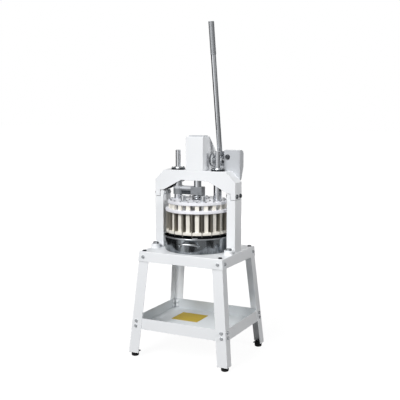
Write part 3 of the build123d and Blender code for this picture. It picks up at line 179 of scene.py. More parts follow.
# Machined steel: mid grey with tool marks, drawn coarse enough to show
machined = {"metallic": 1, "roughness": 0.3, "tones": ("#B4B7BA", "#8C8F92"), "grain": {"tones": (1.2, 3)}}
machinedSteel = makeFinish("machined_steel", machined)

# Drawn spring wire, bright zinc over a smooth skin: light along its top, dark at its edges
wire = {"metallic": 1, "roughness": 0.24, "tones": ("#B4B7BA", "#7E8184"), "grain": {"tones": (4, 3)}}
springSteel = makeFinish("bright_drawn_spring_steel", wire)

# Sand-cast steel, shot blasted: grey, sparkling and pitted
casting = {"metallic": 0.5, "roughness": 0.5, "tones": ("#94979A", "#63666A"), "skin": (0.35, 0.4),
           "grain": {"tones": (14, 5), "skin": (1.6, 4)}}
castSteel = makeFinish("shot_blasted_cast_steel", casting)

# Turned cast aluminium discs: pale and silky, with rings from the lathe, drawn coarse enough to show
alloy = {"metallic": 0.05, "roughness": 0.36, "tones": ("#F8F8FC", "#E8E9F0"), "skin": (0.1, 0.1),
         "grain": {"tones": (1.5, 2)}, "turned": True}
castAlloy = makeFinish("turned_cast_aluminium", alloy)

# Ground stainless blades: satin with upright lines, drawn coarse enough to show, and darker and warmer
# than the pan because they stand in the drum's shade
blade = {"metallic": 1, "roughness": 0.42, "tones": ("#B9B5AE", "#928E87"), "grain": {"tones": (1.2, 3)},
         "stretch": (1, 1, 0.06)}
bladeSteel = makeFinish("ground_stainless_blade", blade)

# Machined cream nylon: waxy, faintly mottled, soft shine
nylon = {"metallic": 0, "roughness": 0.42, "tones": ("#F3F0E8", "#E9E5DA"), "skin": (0.08, 0.1),
         "grain": {"tones": (18, 4), "skin": (1.5, 2)}}
creamNylon = makeFinish("machined_cream_nylon", nylon)

# Spun stainless steel: a dark mirror with rings from the spinning tool, shallow upright dents and wipe marks,
# and a painted dark reflection, darker in patches towards its foot
spun = {"metallic": 1, "roughness": 0.12, "tones": ("#9FA4A8", "#84898D"), "shine": (0.06, 0.24),
        "grain": {"tones": (30, 4)}, "ring": (1.6, 2), "ringSkin": (0.06, 0.1), "dent": (11, 2),
        "dentSkin": (0.5, 0.5), "upright": (1, 1, 0.28), "footShade": "#4A4E52", "shadePatch": (15, 3),
        "shadePatchRange": (0.35, 0.65), "foot": (520, 562)}
spunSteel = makeFinish("spun_stainless_steel", spun)
tree = spunSteel.node_tree
shader = tree.nodes["Principled BSDF"]
wiped = shader.inputs["Base Color"].links[0].from_socket
place = addNode(tree, "ShaderNodeTexCoord").outputs["Object"]
upright = addNode(tree, "ShaderNodeMapping", {"Vector": place}, Scale=spun["upright"]).outputs["Vector"]
noise = {}
for use, spots in (("ring", latheRings(tree, place)), ("dent", upright), ("shadePatch", upright)):
    size, detail = spun[use]
    marks = addNode(tree, "ShaderNodeTexNoise", {"Vector": spots}, Scale=grain(size), Detail=detail)
    noise[use] = marks.outputs["Fac"]
strength, depth = spun["dentSkin"]
wavy = addNode(tree, "ShaderNodeBump", {"Height": noise["dent"]}, Strength=strength, Distance=depth * mm)
strength, depth = spun["ringSkin"]
ringed = addNode(tree, "ShaderNodeBump", {"Height": noise["ring"], "Normal": wavy.outputs["Normal"]},
                 Strength=strength, Distance=depth * mm)
# painted dark reflection: the colour darkens in patches from the foot of the pan upwards
height = addNode(tree, "ShaderNodeSeparateXYZ", {"Vector": place}).outputs["Z"]
footLow, footHigh = spun["foot"]
low = addNode(tree, "ShaderNodeMapRange", {"Value": height},
              **{"From Min": footLow * mm, "From Max": footHigh * mm, "To Min": 1, "To Max": 0})
shadePatchLow, shadePatchHigh = spun["shadePatchRange"]
patch = addNode(tree, "ShaderNodeMapRange", {"Value": noise["shadePatch"]},
                **{"From Min": shadePatchLow, "From Max": shadePatchHigh})
footShadeMask = addNode(tree, "ShaderNodeMath", {0: low.outputs["Result"], 1: patch.outputs["Result"]},
               operation="MULTIPLY")
footShadeTone = addNode(tree, "ShaderNodeMixRGB", {"Fac": footShadeMask.outputs[0], "Color1": wiped},
                    Color2=linear(spun["footShade"]))
tree.links.new(footShadeTone.outputs["Color"], shader.inputs["Base Color"])
tree.links.new(ringed.outputs["Normal"], shader.inputs["Normal"])

finishOf = {
    "white_enamel": whiteEnamel, "grey_enamel": greyEnamel, "black_rubber": blackRubber,
    "zinc_plated_steel": zincSteel, "black_oxide_steel": blackSteel, "gold_anodised_aluminium": goldSheet,
    "hard_chrome": hardChrome, "knurled_steel": knurledSteel, "bronze": bronze, "machined_steel": machinedSteel,
    "spring_steel": springSteel, "cast_steel": castSteel, "cast_aluminium": castAlloy,
    "stainless_steel": spunSteel, "cream_nylon": creamNylon,
}
for name, node in nodes.items():  # every CAD node that stays in sight gets its slot's finish
    node.data.materials.clear()
    node.data.materials.append(finishOf[slotOf[name]])
for name in ("inner_knife_ring", "outer_knife_ring", "radial_knives"):
    nodes[name].data.materials[0] = bladeSteel
print("materials:", len(bpy.data.materials))

# How every piece is made: millimetres to merge, angles in degrees, a weight and the roundness of wire
making = {"merge": 0.01, "flat": 0.3, "sharp": 35, "smooth": 32, "evenWeight": 60, "wireRounds": 4}


def activate(piece):
    bpy.ops.object.select_all(action="DESELECT")
    piece.select_set(True)
    bpy.context.view_layer.objects.active = piece


def copyNode(node):  # a merged copy of a CAD node, with its flat faces in one piece each
    piece = bpy.data.objects.new(node + "_finished", nodes[node].data.copy())
    bpy.context.scene.collection.objects.link(piece)
    activate(piece)
    bpy.ops.mesh.customdata_custom_splitnormals_clear()
    bpy.ops.object.mode_set(mode="EDIT")
    bpy.ops.mesh.select_all(action="SELECT")
    bpy.ops.mesh.remove_doubles(threshold=making["merge"] * mm)
    bpy.ops.mesh.dissolve_limited(angle_limit=math.radians(making["flat"]))
    bpy.ops.object.mode_set(mode="OBJECT")
    return piece


def roundEdges(piece, width, segments=2, shortest=6, wanted=None):  # bevels the long sharp edges, sizes in mm
    activate(piece)
    bpy.ops.object.mode_set(mode="EDIT")
    bpy.ops.mesh.select_mode(type="EDGE")
    bpy.ops.mesh.select_all(action="DESELECT")
    mesh = bmesh.from_edit_mesh(piece.data)
    for edge in mesh.edges:
        sharp = len(edge.link_faces) == 2 and edge.calc_face_angle(0) > math.radians(making["sharp"])
        if sharp and edge.calc_length() > shortest * mm and (wanted is None or wanted(edge)):
            edge.select_set(True)
    bmesh.update_edit_mesh(piece.data)
    bpy.ops.mesh.bevel(offset=width * mm, segments=segments, profile=0.5, affect="EDGES")
    bpy.ops.object.mode_set(mode="OBJECT")


def turn(name, profile, sides=64, hollow=False):  # a turned piece about Z from (radius, height) steps in mm
    bpy.ops.object.select_all(action="DESELECT")
    bpy.ops.mesh.primitive_circle_add(vertices=sides, radius=profile[0][0] * mm)
    piece = bpy.context.object
    piece.name = name
    bpy.ops.object.mode_set(mode="EDIT")
    bpy.ops.mesh.select_mode(type="VERT")
    bpy.ops.mesh.select_all(action="SELECT")
    bpy.ops.transform.translate(value=(0, 0, profile[0][1] * mm))
    for (radius, height), (newRadius, newHeight) in zip(profile, profile[1:]):
        bpy.ops.mesh.extrude_region_move(TRANSFORM_OT_translate={"value": (0, 0, (newHeight - height) * mm)})
        ratio = newRadius / radius
        bpy.ops.transform.resize(value=(ratio, ratio, 1), center_override=(0, 0, newHeight * mm))
    bpy.ops.mesh.select_all(action="DESELECT")
    bpy.ops.mesh.select_non_manifold()
    if hollow:
        bpy.ops.mesh.bridge_edge_loops()
    else:
        bpy.ops.mesh.fill_holes(sides=0)
    bpy.ops.mesh.select_all(action="SELECT")
    bpy.ops.mesh.normals_make_consistent(inside=False)
    bpy.ops.object.mode_set(mode="OBJECT")
    return piece


def cutWith(piece, cutter, operation):
    activate(piece)
    cut = piece.modifiers.new("cut", "BOOLEAN")
    cut.operation = operation
    cut.solver = "EXACT"
    cut.object = cutter
    bpy.ops.object.modifier_apply(modifier="cut")
    bpy.data.objects.remove(cutter)


def joinPieces(pieces, name):
    bpy.ops.object.select_all(action="DESELECT")
    for piece in pieces:
        piece.select_set(True)
    bpy.context.view_layer.objects.active = pieces[0]
    bpy.ops.object.join()
    joined = bpy.context.object
    joined.name = name
    return joined


def spread(master, places, name):  # copies of one modelled piece, each with its own mesh, joined as one part
    copies = []
    for place in places:
        twin = bpy.data.objects.new(name, master.data.copy())
        bpy.context.scene.collection.objects.link(twin)
        twin.matrix_world = place
        copies.append(twin)
    bpy.data.objects.remove(master)
    bpy.context.view_layer.update()
    return joinPieces(copies, name)


def aim(origin, way, spin=0):  # a place in mm whose Z points along way
    turnTo = Vector(way).normalized().to_track_quat("Z", "Y").to_matrix().to_4x4()
    return Matrix.Translation(Vector(origin) * mm) @ turnTo @ Matrix.Rotation(math.radians(spin), 4, "Z")


def settle(piece, body, slotName, material, *cadNodes, angle=making["smooth"]):
    activate(piece)
    bpy.ops.object.transform_apply(location=True, rotation=True, scale=True)
    bpy.ops.object.shade_smooth_by_angle(angle=math.radians(angle))
    even = piece.modifiers.new("evenFaces", "WEIGHTED_NORMAL")  # keeps the broad faces flat beside their bevels
    even.keep_sharp = True
    even.weight = making["evenWeight"]
    bpy.ops.object.modifier_apply(modifier="evenFaces")
    piece.data.materials.clear()
    piece.data.materials.append(material)
    if cadNodes:
        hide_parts(*cadNodes)
    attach(piece, body)
    return piece


def finishNode(node, body, material, edge=0, segments=2, shortest=6):  # a CAD node's copy with broken edges
    piece = copyNode(node)
    if edge:
        roundEdges(piece, edge, segments, shortest)
    return settle(piece, body, slotOf[node], material, node)


def coatFaces(piece, material, wanted):  # another finish on the faces that wanted picks
    piece.data.materials.append(material)
    coat = len(piece.data.materials) - 1
    for face in piece.data.polygons:
        if wanted(face):
            face.material_index = coat


# Sheet metal of the stand: folded edges are round, cut edges only broken
sheet = {"fold": 1.6, "foldSteps": 3, "cut": 0.7, "footTop": 24.5, "shelfTop": 190, "inward": -100}


def isUpright(edge):
    return abs((edge.verts[1].co - edge.verts[0].co).normalized().z) > along


def isShelfInside(face):  # the shelf's floor, and lips that look back at the middle
    looksIn = face.normal.xy.dot(face.center.xy) < sheet["inward"] * mm
    return face.center.z < sheet["shelfTop"] * mm and (face.normal.z > along or looksIn)


tableTop = copyNode("table_top")
roundEdges(tableTop, sheet["fold"], sheet["foldSteps"], wanted=isUpright)
roundEdges(tableTop, sheet["cut"])
settle(tableTop, "stand", "white_enamel", whiteEnamel, "table_top")
for corner in ("front_left", "front_right", "rear_left", "rear_right"):
    leg = finishNode(corner + "_leg", "stand", whiteEnamel, sheet["cut"])
    coatFaces(leg, blackRubber, lambda f: f.center.z < sheet["footTop"] * mm)  # the bottom of each leg is coated black as painted shade
# the shelf's floor and inner lips get the greyer enamel: painted shade under the table
coatFaces(finishNode("shelf_tray", "stand", whiteEnamel, sheet["cut"]), shadedShelfEnamel, isShelfInside)
print("stand sheets done")

# Machine frame: finish, edge radius, segments of the edge and shortest edge that is rounded
machine = {
    "left_upright": (whiteEnamel, 1.2, 2, 6), "right_upright": (whiteEnamel, 1.2, 2, 6),
    "arch": (whiteEnamel, 1.6, 3, 9), "tower": (whiteEnamel, 1.4, 3, 20), "tower_cap": (greyEnamel, 0.6, 2, 6),
    "spring_housing": (greyEnamel, 2.2, 3, 12), "housing_cover": (greyEnamel, 1.2, 3, 12),
    "stop_posts": (whiteEnamel, 0, 2, 6),
}
machinePieces = {name: finishNode(name, "stand", *values) for name, values in machine.items()}
archHollow = {"down": -0.6, "depth": 29.6, "half": 160.5, "low": 770, "high": 892.5}  # where the painted shade goes


def isArchHollow(face):
    x, y, z = face.center / mm
    inside = abs(y) < archHollow["depth"] and abs(x) < archHollow["half"]
    return face.normal.z < archHollow["down"] or (inside and archHollow["low"] < z < archHollow["high"])


# painted shade: every downward face of the arch and the inside of its hollow are coated dark
coatFaces(machinePieces["arch"], archShadeDark, isArchHollow)
print("machine frame done")

# Hexagon bolts: size and slope of the top chamfer, edges of the flange, point of the stem
boltShape = {"crown": 0.475, "slope": 1.73, "rim": 0.3, "side": 0.9, "shoulder": (1.2, 1.3), "point": (0.8, 0.9),
             "coneSides": 48, "flangeSides": 40, "stemSides": 24}
screwShape = {"edge": 0.7, "sides": 32}


def hexHead(name, flats, height):  # a hexagon with the round chamfer that bolts and nuts have on top
    middle = (0, 0, height / 2 * mm)
    corner = flats / math.sqrt(3)
    bpy.ops.object.select_all(action="DESELECT")
    bpy.ops.mesh.primitive_cylinder_add(vertices=6, radius=corner * mm, depth=height * mm, location=middle)
    head = bpy.context.object
    head.name = name
    bpy.ops.object.transform_apply(location=True)
    top = boltShape["crown"] * flats
    foot = top + boltShape["slope"] * height
    bpy.ops.mesh.primitive_cone_add(vertices=boltShape["coneSides"], radius1=foot * mm, radius2=top * mm,
                                    depth=height * mm, location=middle)
    cutWith(head, bpy.context.object, "INTERSECT")
    return head


def hexBolt(name, size):
    head = hexHead(name, size["flats"], size["head"])
    edge, shank, length = size["flange"], size["shank"], size["length"]
    inset, top = boltShape["shoulder"]
    flange = [(edge - boltShape["rim"], 0), (edge, boltShape["rim"]), (edge, boltShape["side"]), (edge - inset, top)]
    collar = turn(name + "_flange", flange, boltShape["flangeSides"])
    thin, tall = boltShape["point"]
    pin = [(shank - thin, -length), (shank, tall - length), (shank, 0)]
    stem = turn(name + "_stem", pin, boltShape["stemSides"])
    return joinPieces([head, collar, stem], name)


def socketScrew(name, size):
    rim, top, shank, edge = size["radius"], size["head"], size["shank"], screwShape["edge"]
    profile = [(shank, -size["length"]), (shank, 0), (rim, 0), (rim, top - edge), (rim - edge, top)]
    screw = turn(name, profile, screwShape["sides"])
    socket = size["socket"] / math.cos(math.pi / 6)
    bpy.ops.object.select_all(action="DESELECT")
    bpy.ops.mesh.primitive_cylinder_add(vertices=6, radius=socket * mm, depth=top * mm, location=(0, 0, top * mm))
    cutWith(screw, bpy.context.object, "DIFFERENCE")
    return screw


# Leg bolts: places from the stand's own sizes
stand = {"halfWidth": 220, "halfDepth": 188, "height": 516, "splayX": 0.093, "splayY": 0.073, "sheet": 3,
         "edge": 22}
legBolt = {"flats": 13, "head": 5.5, "flange": 8, "shank": 4, "length": 11.3, "spin": 17, "apron": 491,
           "shelf": (178, 154), "apronGrip": 6, "shelfGrip": 5, "nut": 6.5, "nutSpin": 23}


def legFace(sx, sy, side, height, inset):
    wide = stand["halfWidth"] + stand["splayX"] * (stand["height"] - height)
    deep = stand["halfDepth"] + stand["splayY"] * (stand["height"] - height)
    fromEdge = stand["sheet"] + stand["edge"]
    if side == "x":
        return (sx * (wide - inset), sy * (deep - fromEdge), height), (sx, 0, stand["splayX"])
    return (sx * (wide - fromEdge), sy * (deep - inset), height), (0, sy, stand["splayY"])


legSides = [(sx, sy, side) for sx, sy in corners for side in "xy"]
boltFaces = [(legFace(*legSide, legBolt["apron"], 0), legBolt["apronGrip"]) for legSide in legSides]
boltFaces += [(legFace(*legSide, height, stand["sheet"]), legBolt["shelfGrip"])
              for legSide in legSides for height in legBolt["shelf"]]
boltPlaces = []
nutPlaces = []
for step, ((origin, way), thick) in enumerate(boltFaces):
    out = Vector(way).normalized()
    boltPlaces.append(aim(origin, out, legBolt["spin"] * step))  # no two heads stop at the same angle
    nutPlaces.append(aim(Vector(origin) - out * thick, -out, legBolt["nutSpin"] * step))
bolts = spread(hexBolt("leg_bolt", legBolt), boltPlaces, "leg_bolts")
settle(bolts, "stand", "zinc_plated_steel", zincSteel, "frame_bolts")
nuts = spread(hexHead("leg_nut", legBolt["flats"], legBolt["nut"]), nutPlaces, "leg_nuts")
settle(nuts, "stand", "white_enamel", whiteEnamel, "frame_nuts")

# Low bolts on the table's corners
cornerBolt = {"flats": 16, "head": 5, "flange": 10, "shank": 4, "length": 14, "at": (201, 169, 516), "spin": 31}
x, y, z = cornerBolt["at"]
cornerPlaces = [aim((sx * x, sy * y, z), upAxis, cornerBolt["spin"] * i) for i, (sx, sy) in enumerate(corners)]
cornerBolts = spread(hexBolt("corner_bolt", cornerBolt), cornerPlaces, "corner_bolts_finished")
settle(cornerBolts, "stand", "black_oxide_steel", blackSteel, "corner_bolts")

# Bolts on the two stop posts
postBolt = {"flats": 24, "head": 9, "flange": 15.5, "shank": 8, "length": 29, "at": (197, -67, 536),
            "spin": (12, 25)}
x, y, z = postBolt["at"]
spin, spinStep = postBolt["spin"]
postPlaces = [aim((sx * x, y, z), upAxis, spin + spinStep * sx) for sx in (-1, 1)]
postBolts = spread(hexBolt("post_bolt", postBolt), postPlaces, "post_bolts_finished")
settle(postBolts, "stand", "zinc_plated_steel", zincSteel, "post_bolts")

# Bolts through the arch's feet and the uprights, with a nut inside
archBolt = {"flats": 17, "head": 6.5, "flange": 11, "shank": 5, "length": 52, "at": (215, 20, 785), "spin": 19,
            "grip": 44, "nut": 8, "nutSpin": 14}
x, y, z = archBolt["at"]
archPlaces = [aim((sx * x, sy * y, z), (sx, 0, 0), archBolt["spin"] * sy) for sx, sy in corners]
archBolts = spread(hexBolt("arch_bolt", archBolt), archPlaces, "arch_bolts_finished")
settle(archBolts, "stand", "black_oxide_steel", blackSteel, "arch_bolts")
nutX = x - archBolt["grip"]
archNutPlaces = [aim((sx * nutX, sy * y, z), (-sx, 0, 0), archBolt["nutSpin"] * sy) for sx, sy in corners]
archNuts = spread(hexHead("arch_nut", archBolt["flats"], archBolt["nut"]), archNutPlaces, "arch_nuts_finished")
settle(archNuts, "stand", "zinc_plated_steel", zincSteel, "arch_nuts")

# The one bolt in the front of the spring housing
frontBolt = {"flats": 19, "head": 8, "flange": 12, "shank": 6, "length": 8, "at": (141, 37.5, 966), "spin": 8}
frontPlace = aim(frontBolt["at"], (0, -1, 0), frontBolt["spin"])
frontBoltPiece = spread(hexBolt("front_bolt", frontBolt), [frontPlace], "front_bolt_finished")
settle(frontBoltPiece, "stand", "black_oxide_steel", blackSteel, "front_bolt")
print("bolts done")

# Socket screws on the guide flanges and in the tower's foot
capScrew = {"radius": 5, "head": 6, "socket": 2.5, "shank": 3, "length": 14, "circle": 27, "flangeTop": 908,
            "angles": (45, 135, 225, 315), "spin": 7, "tower": (34, 26, 903), "towerSpin": 11}
capPlaces = []
for side in (-1, 1):
    for angle in capScrew["angles"]:
        x = side * guideX + capScrew["circle"] * math.cos(math.radians(angle))
        y = capScrew["circle"] * math.sin(math.radians(angle))
        capPlaces.append(aim((x, y, capScrew["flangeTop"]), upAxis, angle + capScrew["spin"] * side))
x, y, z = capScrew["tower"]
capPlaces += [aim((sx * x, sy * y, z), upAxis, capScrew["towerSpin"] * sx) for sx, sy in corners]
capScrews = spread(socketScrew("cap_screw", capScrew), capPlaces, "cap_screws_finished")
settle(capScrews, "stand", "zinc_plated_steel", zincSteel, "cap_screws")

# One socket screw on every plunger: count and radius of each ring of stems
plungerScrew = {"radius": 4.5, "head": 4, "socket": 2, "shank": 2.5, "length": 24, "top": 758, "turn": -1.5,
                "spin": 37, "rings": ((4, 42.17), (12, 80.03), (20, 134))}
screwPlaces = []
for count, radius in plungerScrew["rings"]:
    for index in range(count):
        angle = math.pi * (2 * index + 1) / count + math.radians(plungerScrew["turn"])
        spot = (radius * math.cos(angle), radius * math.sin(angle), plungerScrew["top"])
        screwPlaces.append(aim(spot, upAxis, plungerScrew["spin"] * index))
plungerScrews = spread(socketScrew("plunger_screw", plungerScrew), screwPlaces, "plunger_screws_finished")
settle(plungerScrews, "press_head", "stainless_steel", machinedSteel, "plunger_screws")

# Two socket screws in the crosshead, of the guide flanges' size
crossScrew = {"at": (18, 20, 800), "spin": 162}
x, y, z = crossScrew["at"]
crossPlaces = [aim((side * x, y, z), (0, 1, 0), crossScrew["spin"] * side) for side in (-1, 1)]
crossScrews = spread(socketScrew("crosshead_screw", capScrew), crossPlaces, "crosshead_screws_finished")
settle(crossScrews, "cutting_head", "zinc_plated_steel", zincSteel, "crosshead_screws")
print("socket screws done")

# Rubber feet with a grip groove
foot = {"x": 241.13, "y": 199.21, "sides": 48,
        "profile": [(11.5, 0), (14.6, 0.5), (16.6, 1.8), (17.7, 3.8), (18, 6), (18, 10), (17.3, 10.7),
                    (17.3, 11.6), (18, 12.3), (18, 16), (17, 17.6), (14, 18)]}
footPlaces = [aim((sx * foot["x"], sy * foot["y"], 0), upAxis) for sx, sy in corners]
pads = spread(turn("foot_pad", foot["profile"], foot["sides"]), footPlaces, "foot_pads_finished")
settle(pads, "stand", "black_rubber", blackRubber, "foot_pads")
finishNode("foot_studs", "stand", blackSteel)

# Blank plate with a pressed border
plate = {"width": 145, "depth": 130, "thick": 1, "corner": 4, "cornerSteps": 5, "shortest": 0.1, "x": -81, "y": 70,
         "z": 141, "border": 1.8, "line": 0.7, "sink": 0.2, "smooth": 8}
plateMiddle = Vector((plate["x"], plate["y"], plate["z"] + plate["thick"] / 2)) * mm
plateSize = Vector((plate["width"], plate["depth"], plate["thick"])) * mm
bpy.ops.object.select_all(action="DESELECT")
bpy.ops.mesh.primitive_cube_add(size=1, location=plateMiddle, scale=plateSize)
blank = bpy.context.object
blank.name = "blank_gold_plate"
bpy.ops.object.transform_apply(location=True, rotation=True, scale=True)
roundEdges(blank, plate["corner"], plate["cornerSteps"], plate["shortest"], isUpright)
bpy.ops.object.mode_set(mode="EDIT")
bpy.ops.mesh.select_mode(type="FACE")
bpy.ops.mesh.select_all(action="DESELECT")
mesh = bmesh.from_edit_mesh(blank.data)
for face in mesh.faces:
    face.select_set(face.normal.z > along)
bmesh.update_edit_mesh(blank.data)
bpy.ops.mesh.inset(thickness=plate["border"] * mm)
bpy.ops.mesh.inset(thickness=plate["line"] * mm, depth=-plate["sink"] * mm)
bpy.ops.mesh.inset(thickness=plate["line"] * mm, depth=plate["sink"] * mm)
bpy.ops.object.mode_set(mode="OBJECT")
settle(blank, "stand", "gold_anodised_aluminium", goldSheet, "blank_plate", angle=plate["smooth"])
print("feet and plate done")

# Guide bushes: a blackened flange with a bright collar pressed in
guide = {"sides": 72,
         "flange": [(12.6, 850), (17.2, 850), (18, 851), (18, 900), (33.2, 900), (34, 900.8), (34, 907.2),
                    (33.2, 908), (12.6, 908)],
         "collar": [(12.6, 908), (20.5, 908), (19.8, 910), (18.2, 913.2), (17, 914), (13.6, 914), (12.6, 913)]}
guidePlaces = [Matrix.Translation((side * guideX * mm, 0, 0)) for side in (-1, 1)]
flange = turn("guide_flange", guide["flange"], guide["sides"], hollow=True)
settle(spread(flange, guidePlaces, "guide_flanges"), "stand", "black_oxide_steel", blackSteel, "guide_bushes")
collar = turn("guide_collar", guide["collar"], guide["sides"], hollow=True)
settle(spread(collar, guidePlaces, "guide_collars"), "stand", "hard_chrome", hardChrome, "guide_bushes")

# Ground rods with their sleeves, and a lathe centre in the top end
guideRod = {"sides": 72,
            "profile": [(12.5, 710), (12.5, 720), (19.2, 720), (20, 720.8), (20, 847), (19, 848), (12.5, 848),
                        (12.5, 993.5), (11, 995), (3, 995), (1.2, 992)]}
for side, x in (("left", -guideX), ("right", guideX)):
    rod = turn(side + "_guide_rod_finished", guideRod["profile"], guideRod["sides"])
    rod.location = (x * mm, 0, 0)
    settle(rod, "cutting_head", "hard_chrome", hardChrome, side + "_guide_rod")
guidePost = {"circle": 106.77, "angles": (257, 311, 104), "sides": 64,
             "profile": [(14.5, 720), (14.5, 743.5), (14, 744), (12.5, 744), (12.5, 785), (10.5, 787), (3, 787),
                         (1.2, 784)]}
postSpots = []
for angle in guidePost["angles"]:
    x = guidePost["circle"] * math.cos(math.radians(angle))
    y = guidePost["circle"] * math.sin(math.radians(angle))
    postSpots.append(Matrix.Translation((x * mm, y * mm, 0)))
guidePosts = spread(turn("guide_post", guidePost["profile"], guidePost["sides"]), postSpots, "guide_posts_finished")
settle(guidePosts, "cutting_head", "hard_chrome", hardChrome, "guide_posts")

# Lever rod, leaning to the front
lever = {"pivot": (94, shaftY, shaftZ), "lean": 9.3, "sides": 64,
         "rod": [(7, 13), (7, 19), (11.5, 19), (12.5, 20), (12.5, 500.2), (11.8, 501)]}
lean = math.radians(lever["lean"])
leverPlace = aim(lever["pivot"], (0, -math.sin(lean), math.cos(lean)))
leverRod = turn("lever_rod_finished", lever["rod"], lever["sides"])
leverRod.matrix_world = leverPlace
settle(leverRod, "lever", "hard_chrome", hardChrome, "lever_rod")

# Knurled grip between two plain bands
grip = {"start": 501, "end": 653, "core": 13.2, "tooth": 0.25, "band": 5, "sides": 40, "rows": 70, "smooth": 25,
        "low": [(10, 501), (12.5, 501), (13.5, 502), (13.5, 505.4), (12.7, 506.4), (12.7, 510)],
        "high": [(12.7, 644), (12.7, 647.6), (13.5, 648.6), (13.5, 651.6), (12.1, 653), (4, 653)]}
step = (grip["end"] - grip["start"] - 2 * grip["band"]) / grip["rows"]
knurlProfile = [(grip["core"], grip["start"] + grip["band"] + step * row) for row in range(grip["rows"] + 1)]
knurl = turn("knurl", knurlProfile, grip["sides"])
bpy.ops.object.mode_set(mode="EDIT")
bpy.ops.mesh.select_mode(type="FACE")
bpy.ops.mesh.select_all(action="DESELECT")
mesh = bmesh.from_edit_mesh(knurl.data)
bmesh.ops.delete(mesh, geom=[face for face in mesh.faces if len(face.verts) > 4], context="FACES_ONLY")  # ends off
bmesh.update_edit_mesh(knurl.data)
bpy.ops.mesh.select_all(action="SELECT")
bpy.ops.mesh.unsubdivide(iterations=1)  # turns the square grid into diamonds
bpy.ops.mesh.select_all(action="SELECT")
bpy.ops.mesh.poke(offset=grip["tooth"] * mm)
bpy.ops.mesh.select_mode(type="VERT")
bpy.ops.mesh.select_all(action="DESELECT")
bpy.ops.mesh.select_non_manifold()
bpy.ops.mesh.fill_holes(sides=0)  # ends on again
bpy.ops.mesh.select_all(action="SELECT")
bpy.ops.mesh.normals_make_consistent(inside=False)
bpy.ops.object.mode_set(mode="OBJECT")
bands = [turn("grip_" + end, grip[end], lever["sides"]) for end in ("low", "high")]
gripPiece = joinPieces([knurl] + bands, "lever_grip_finished")
gripPiece.matrix_world = leverPlace
settle(gripPiece, "lever", "knurled_steel", knurledSteel, "lever_grip", angle=grip["smooth"])

# Shaft with a blackened end, hub, and the right bush, whose rim is coated grey as a painted shade outline
shaftEnd = {"from": 100, "outward": 0.8}
bush = {"rim": 22, "sides": 72,
        "profile": [(12.05, 40), (18, 40), (18, 46), (28.2, 46), (29, 46.8), (29, 53.6), (27.6, 55), (12.05, 55)]}


def isShaftEnd(face):
    return face.normal.x > shaftEnd["outward"] and face.center.x > shaftEnd["from"] * mm


def isBushRim(face):
    fromShaft = (face.center.yz / mm - Vector((shaftY, shaftZ))).length
    return abs(face.normal.x) < along and fromShaft > bush["rim"]


coatFaces(finishNode("lever_shaft", "lever", machinedSteel), blackSteel, isShaftEnd)
finishNode("lever_hub", "lever", hardChrome)
rightBush = turn("right_shaft_bush_finished", bush["profile"], bush["sides"], hollow=True)
rightBush.matrix_world = aim((0, shaftY, shaftZ), (1, 0, 0))
settle(rightBush, "stand", "white_enamel", whiteEnamel, "right_shaft_bush")
# painted shade: the bush's rim is coated darker than its white face
coatFaces(rightBush, castSteel, isBushRim)
print("guides and lever done")

# Cast crosshead: its arm is coated pale grey above as a painted highlight and black below as painted shade
cross = {"edge": 2.0, "edgeSteps": 3, "shortest": 10, "armLine": 808, "armEnd": -30.2, "sleeve": 20.5,
         "ribTop": 799, "ribEnd": -84}
crosshead = copyNode("crosshead")
roundEdges(crosshead, cross["edge"], cross["edgeSteps"], cross["shortest"])
bpy.ops.object.mode_set(mode="EDIT")
bpy.ops.mesh.select_all(action="SELECT")
bpy.ops.mesh.bisect(plane_co=(0, 0, cross["armLine"] * mm), plane_no=upAxis)
bpy.ops.object.mode_set(mode="OBJECT")
settle(crosshead, "cutting_head", "cast_steel", castSteel, "crosshead")


def isArm(face):
    offRod = (face.center.xy - Vector((-guideX * mm, 0))).length
    return face.center.x < cross["armEnd"] * mm and offRod > cross["sleeve"] * mm


def isRib(face):
    return isArm(face) and face.center.x > cross["ribEnd"] * mm and face.center.z < cross["ribTop"] * mm


# painted highlight: pale grey enamel on the top half of the arm
coatFaces(crosshead, greyEnamel, lambda f: isArm(f) and f.center.z > cross["armLine"] * mm)
# painted shade: black on the rib under the arm
coatFaces(crosshead, blackSteel, isRib)

# Plungers, the two discs and the ram
nylonEdge = {"edge": 0.7, "shortest": 7}
for ring in ("inner", "middle", "outer"):
    finishNode(ring + "_plungers", "press_head", creamNylon, **nylonEdge)
finishNode("knife_carrier", "cutting_head", castAlloy)
finishNode("press_plate", "press_head", castAlloy)
finishNode("ram_rack", "cutting_head", hardChrome)


def windCoil(name, size):  # a wound spring about Z with its end turns closed, sizes in mm
    coil = bpy.data.curves.new(name + "_wire", "CURVE")
    coil.dimensions = "3D"
    coil.bevel_depth = size["wire"] * mm
    coil.bevel_resolution = making["wireRounds"]
    coil.use_fill_caps = True
    line = coil.splines.new("POLY")
    pointCount = size["turns"] * size["steps"] + 1
    line.points.add(pointCount - 1)
    closed = size["closed"]
    rise = size["high"] - size["low"]
    dead = 2 * size["wire"] * closed  # rise of each closed end turn
    radius = size["radius"]
    for index in range(pointCount):
        turned = index / size["steps"]
        if turned < closed:
            height = dead * turned / closed
        elif turned > size["turns"] - closed:
            height = rise - dead * (size["turns"] - turned) / closed
        else:
            height = dead + (rise - 2 * dead) * (turned - closed) / (size["turns"] - 2 * closed)
        angle = 2 * math.pi * turned
        spot = Vector((radius * math.cos(angle), radius * math.sin(angle), size["low"] + height)) * mm
        line.points[index].co = (*spot, 1)
    piece = bpy.data.objects.new(name, coil)
    bpy.context.scene.collection.objects.link(piece)
    activate(piece)
    bpy.ops.object.convert(target="MESH")
    return bpy.context.object


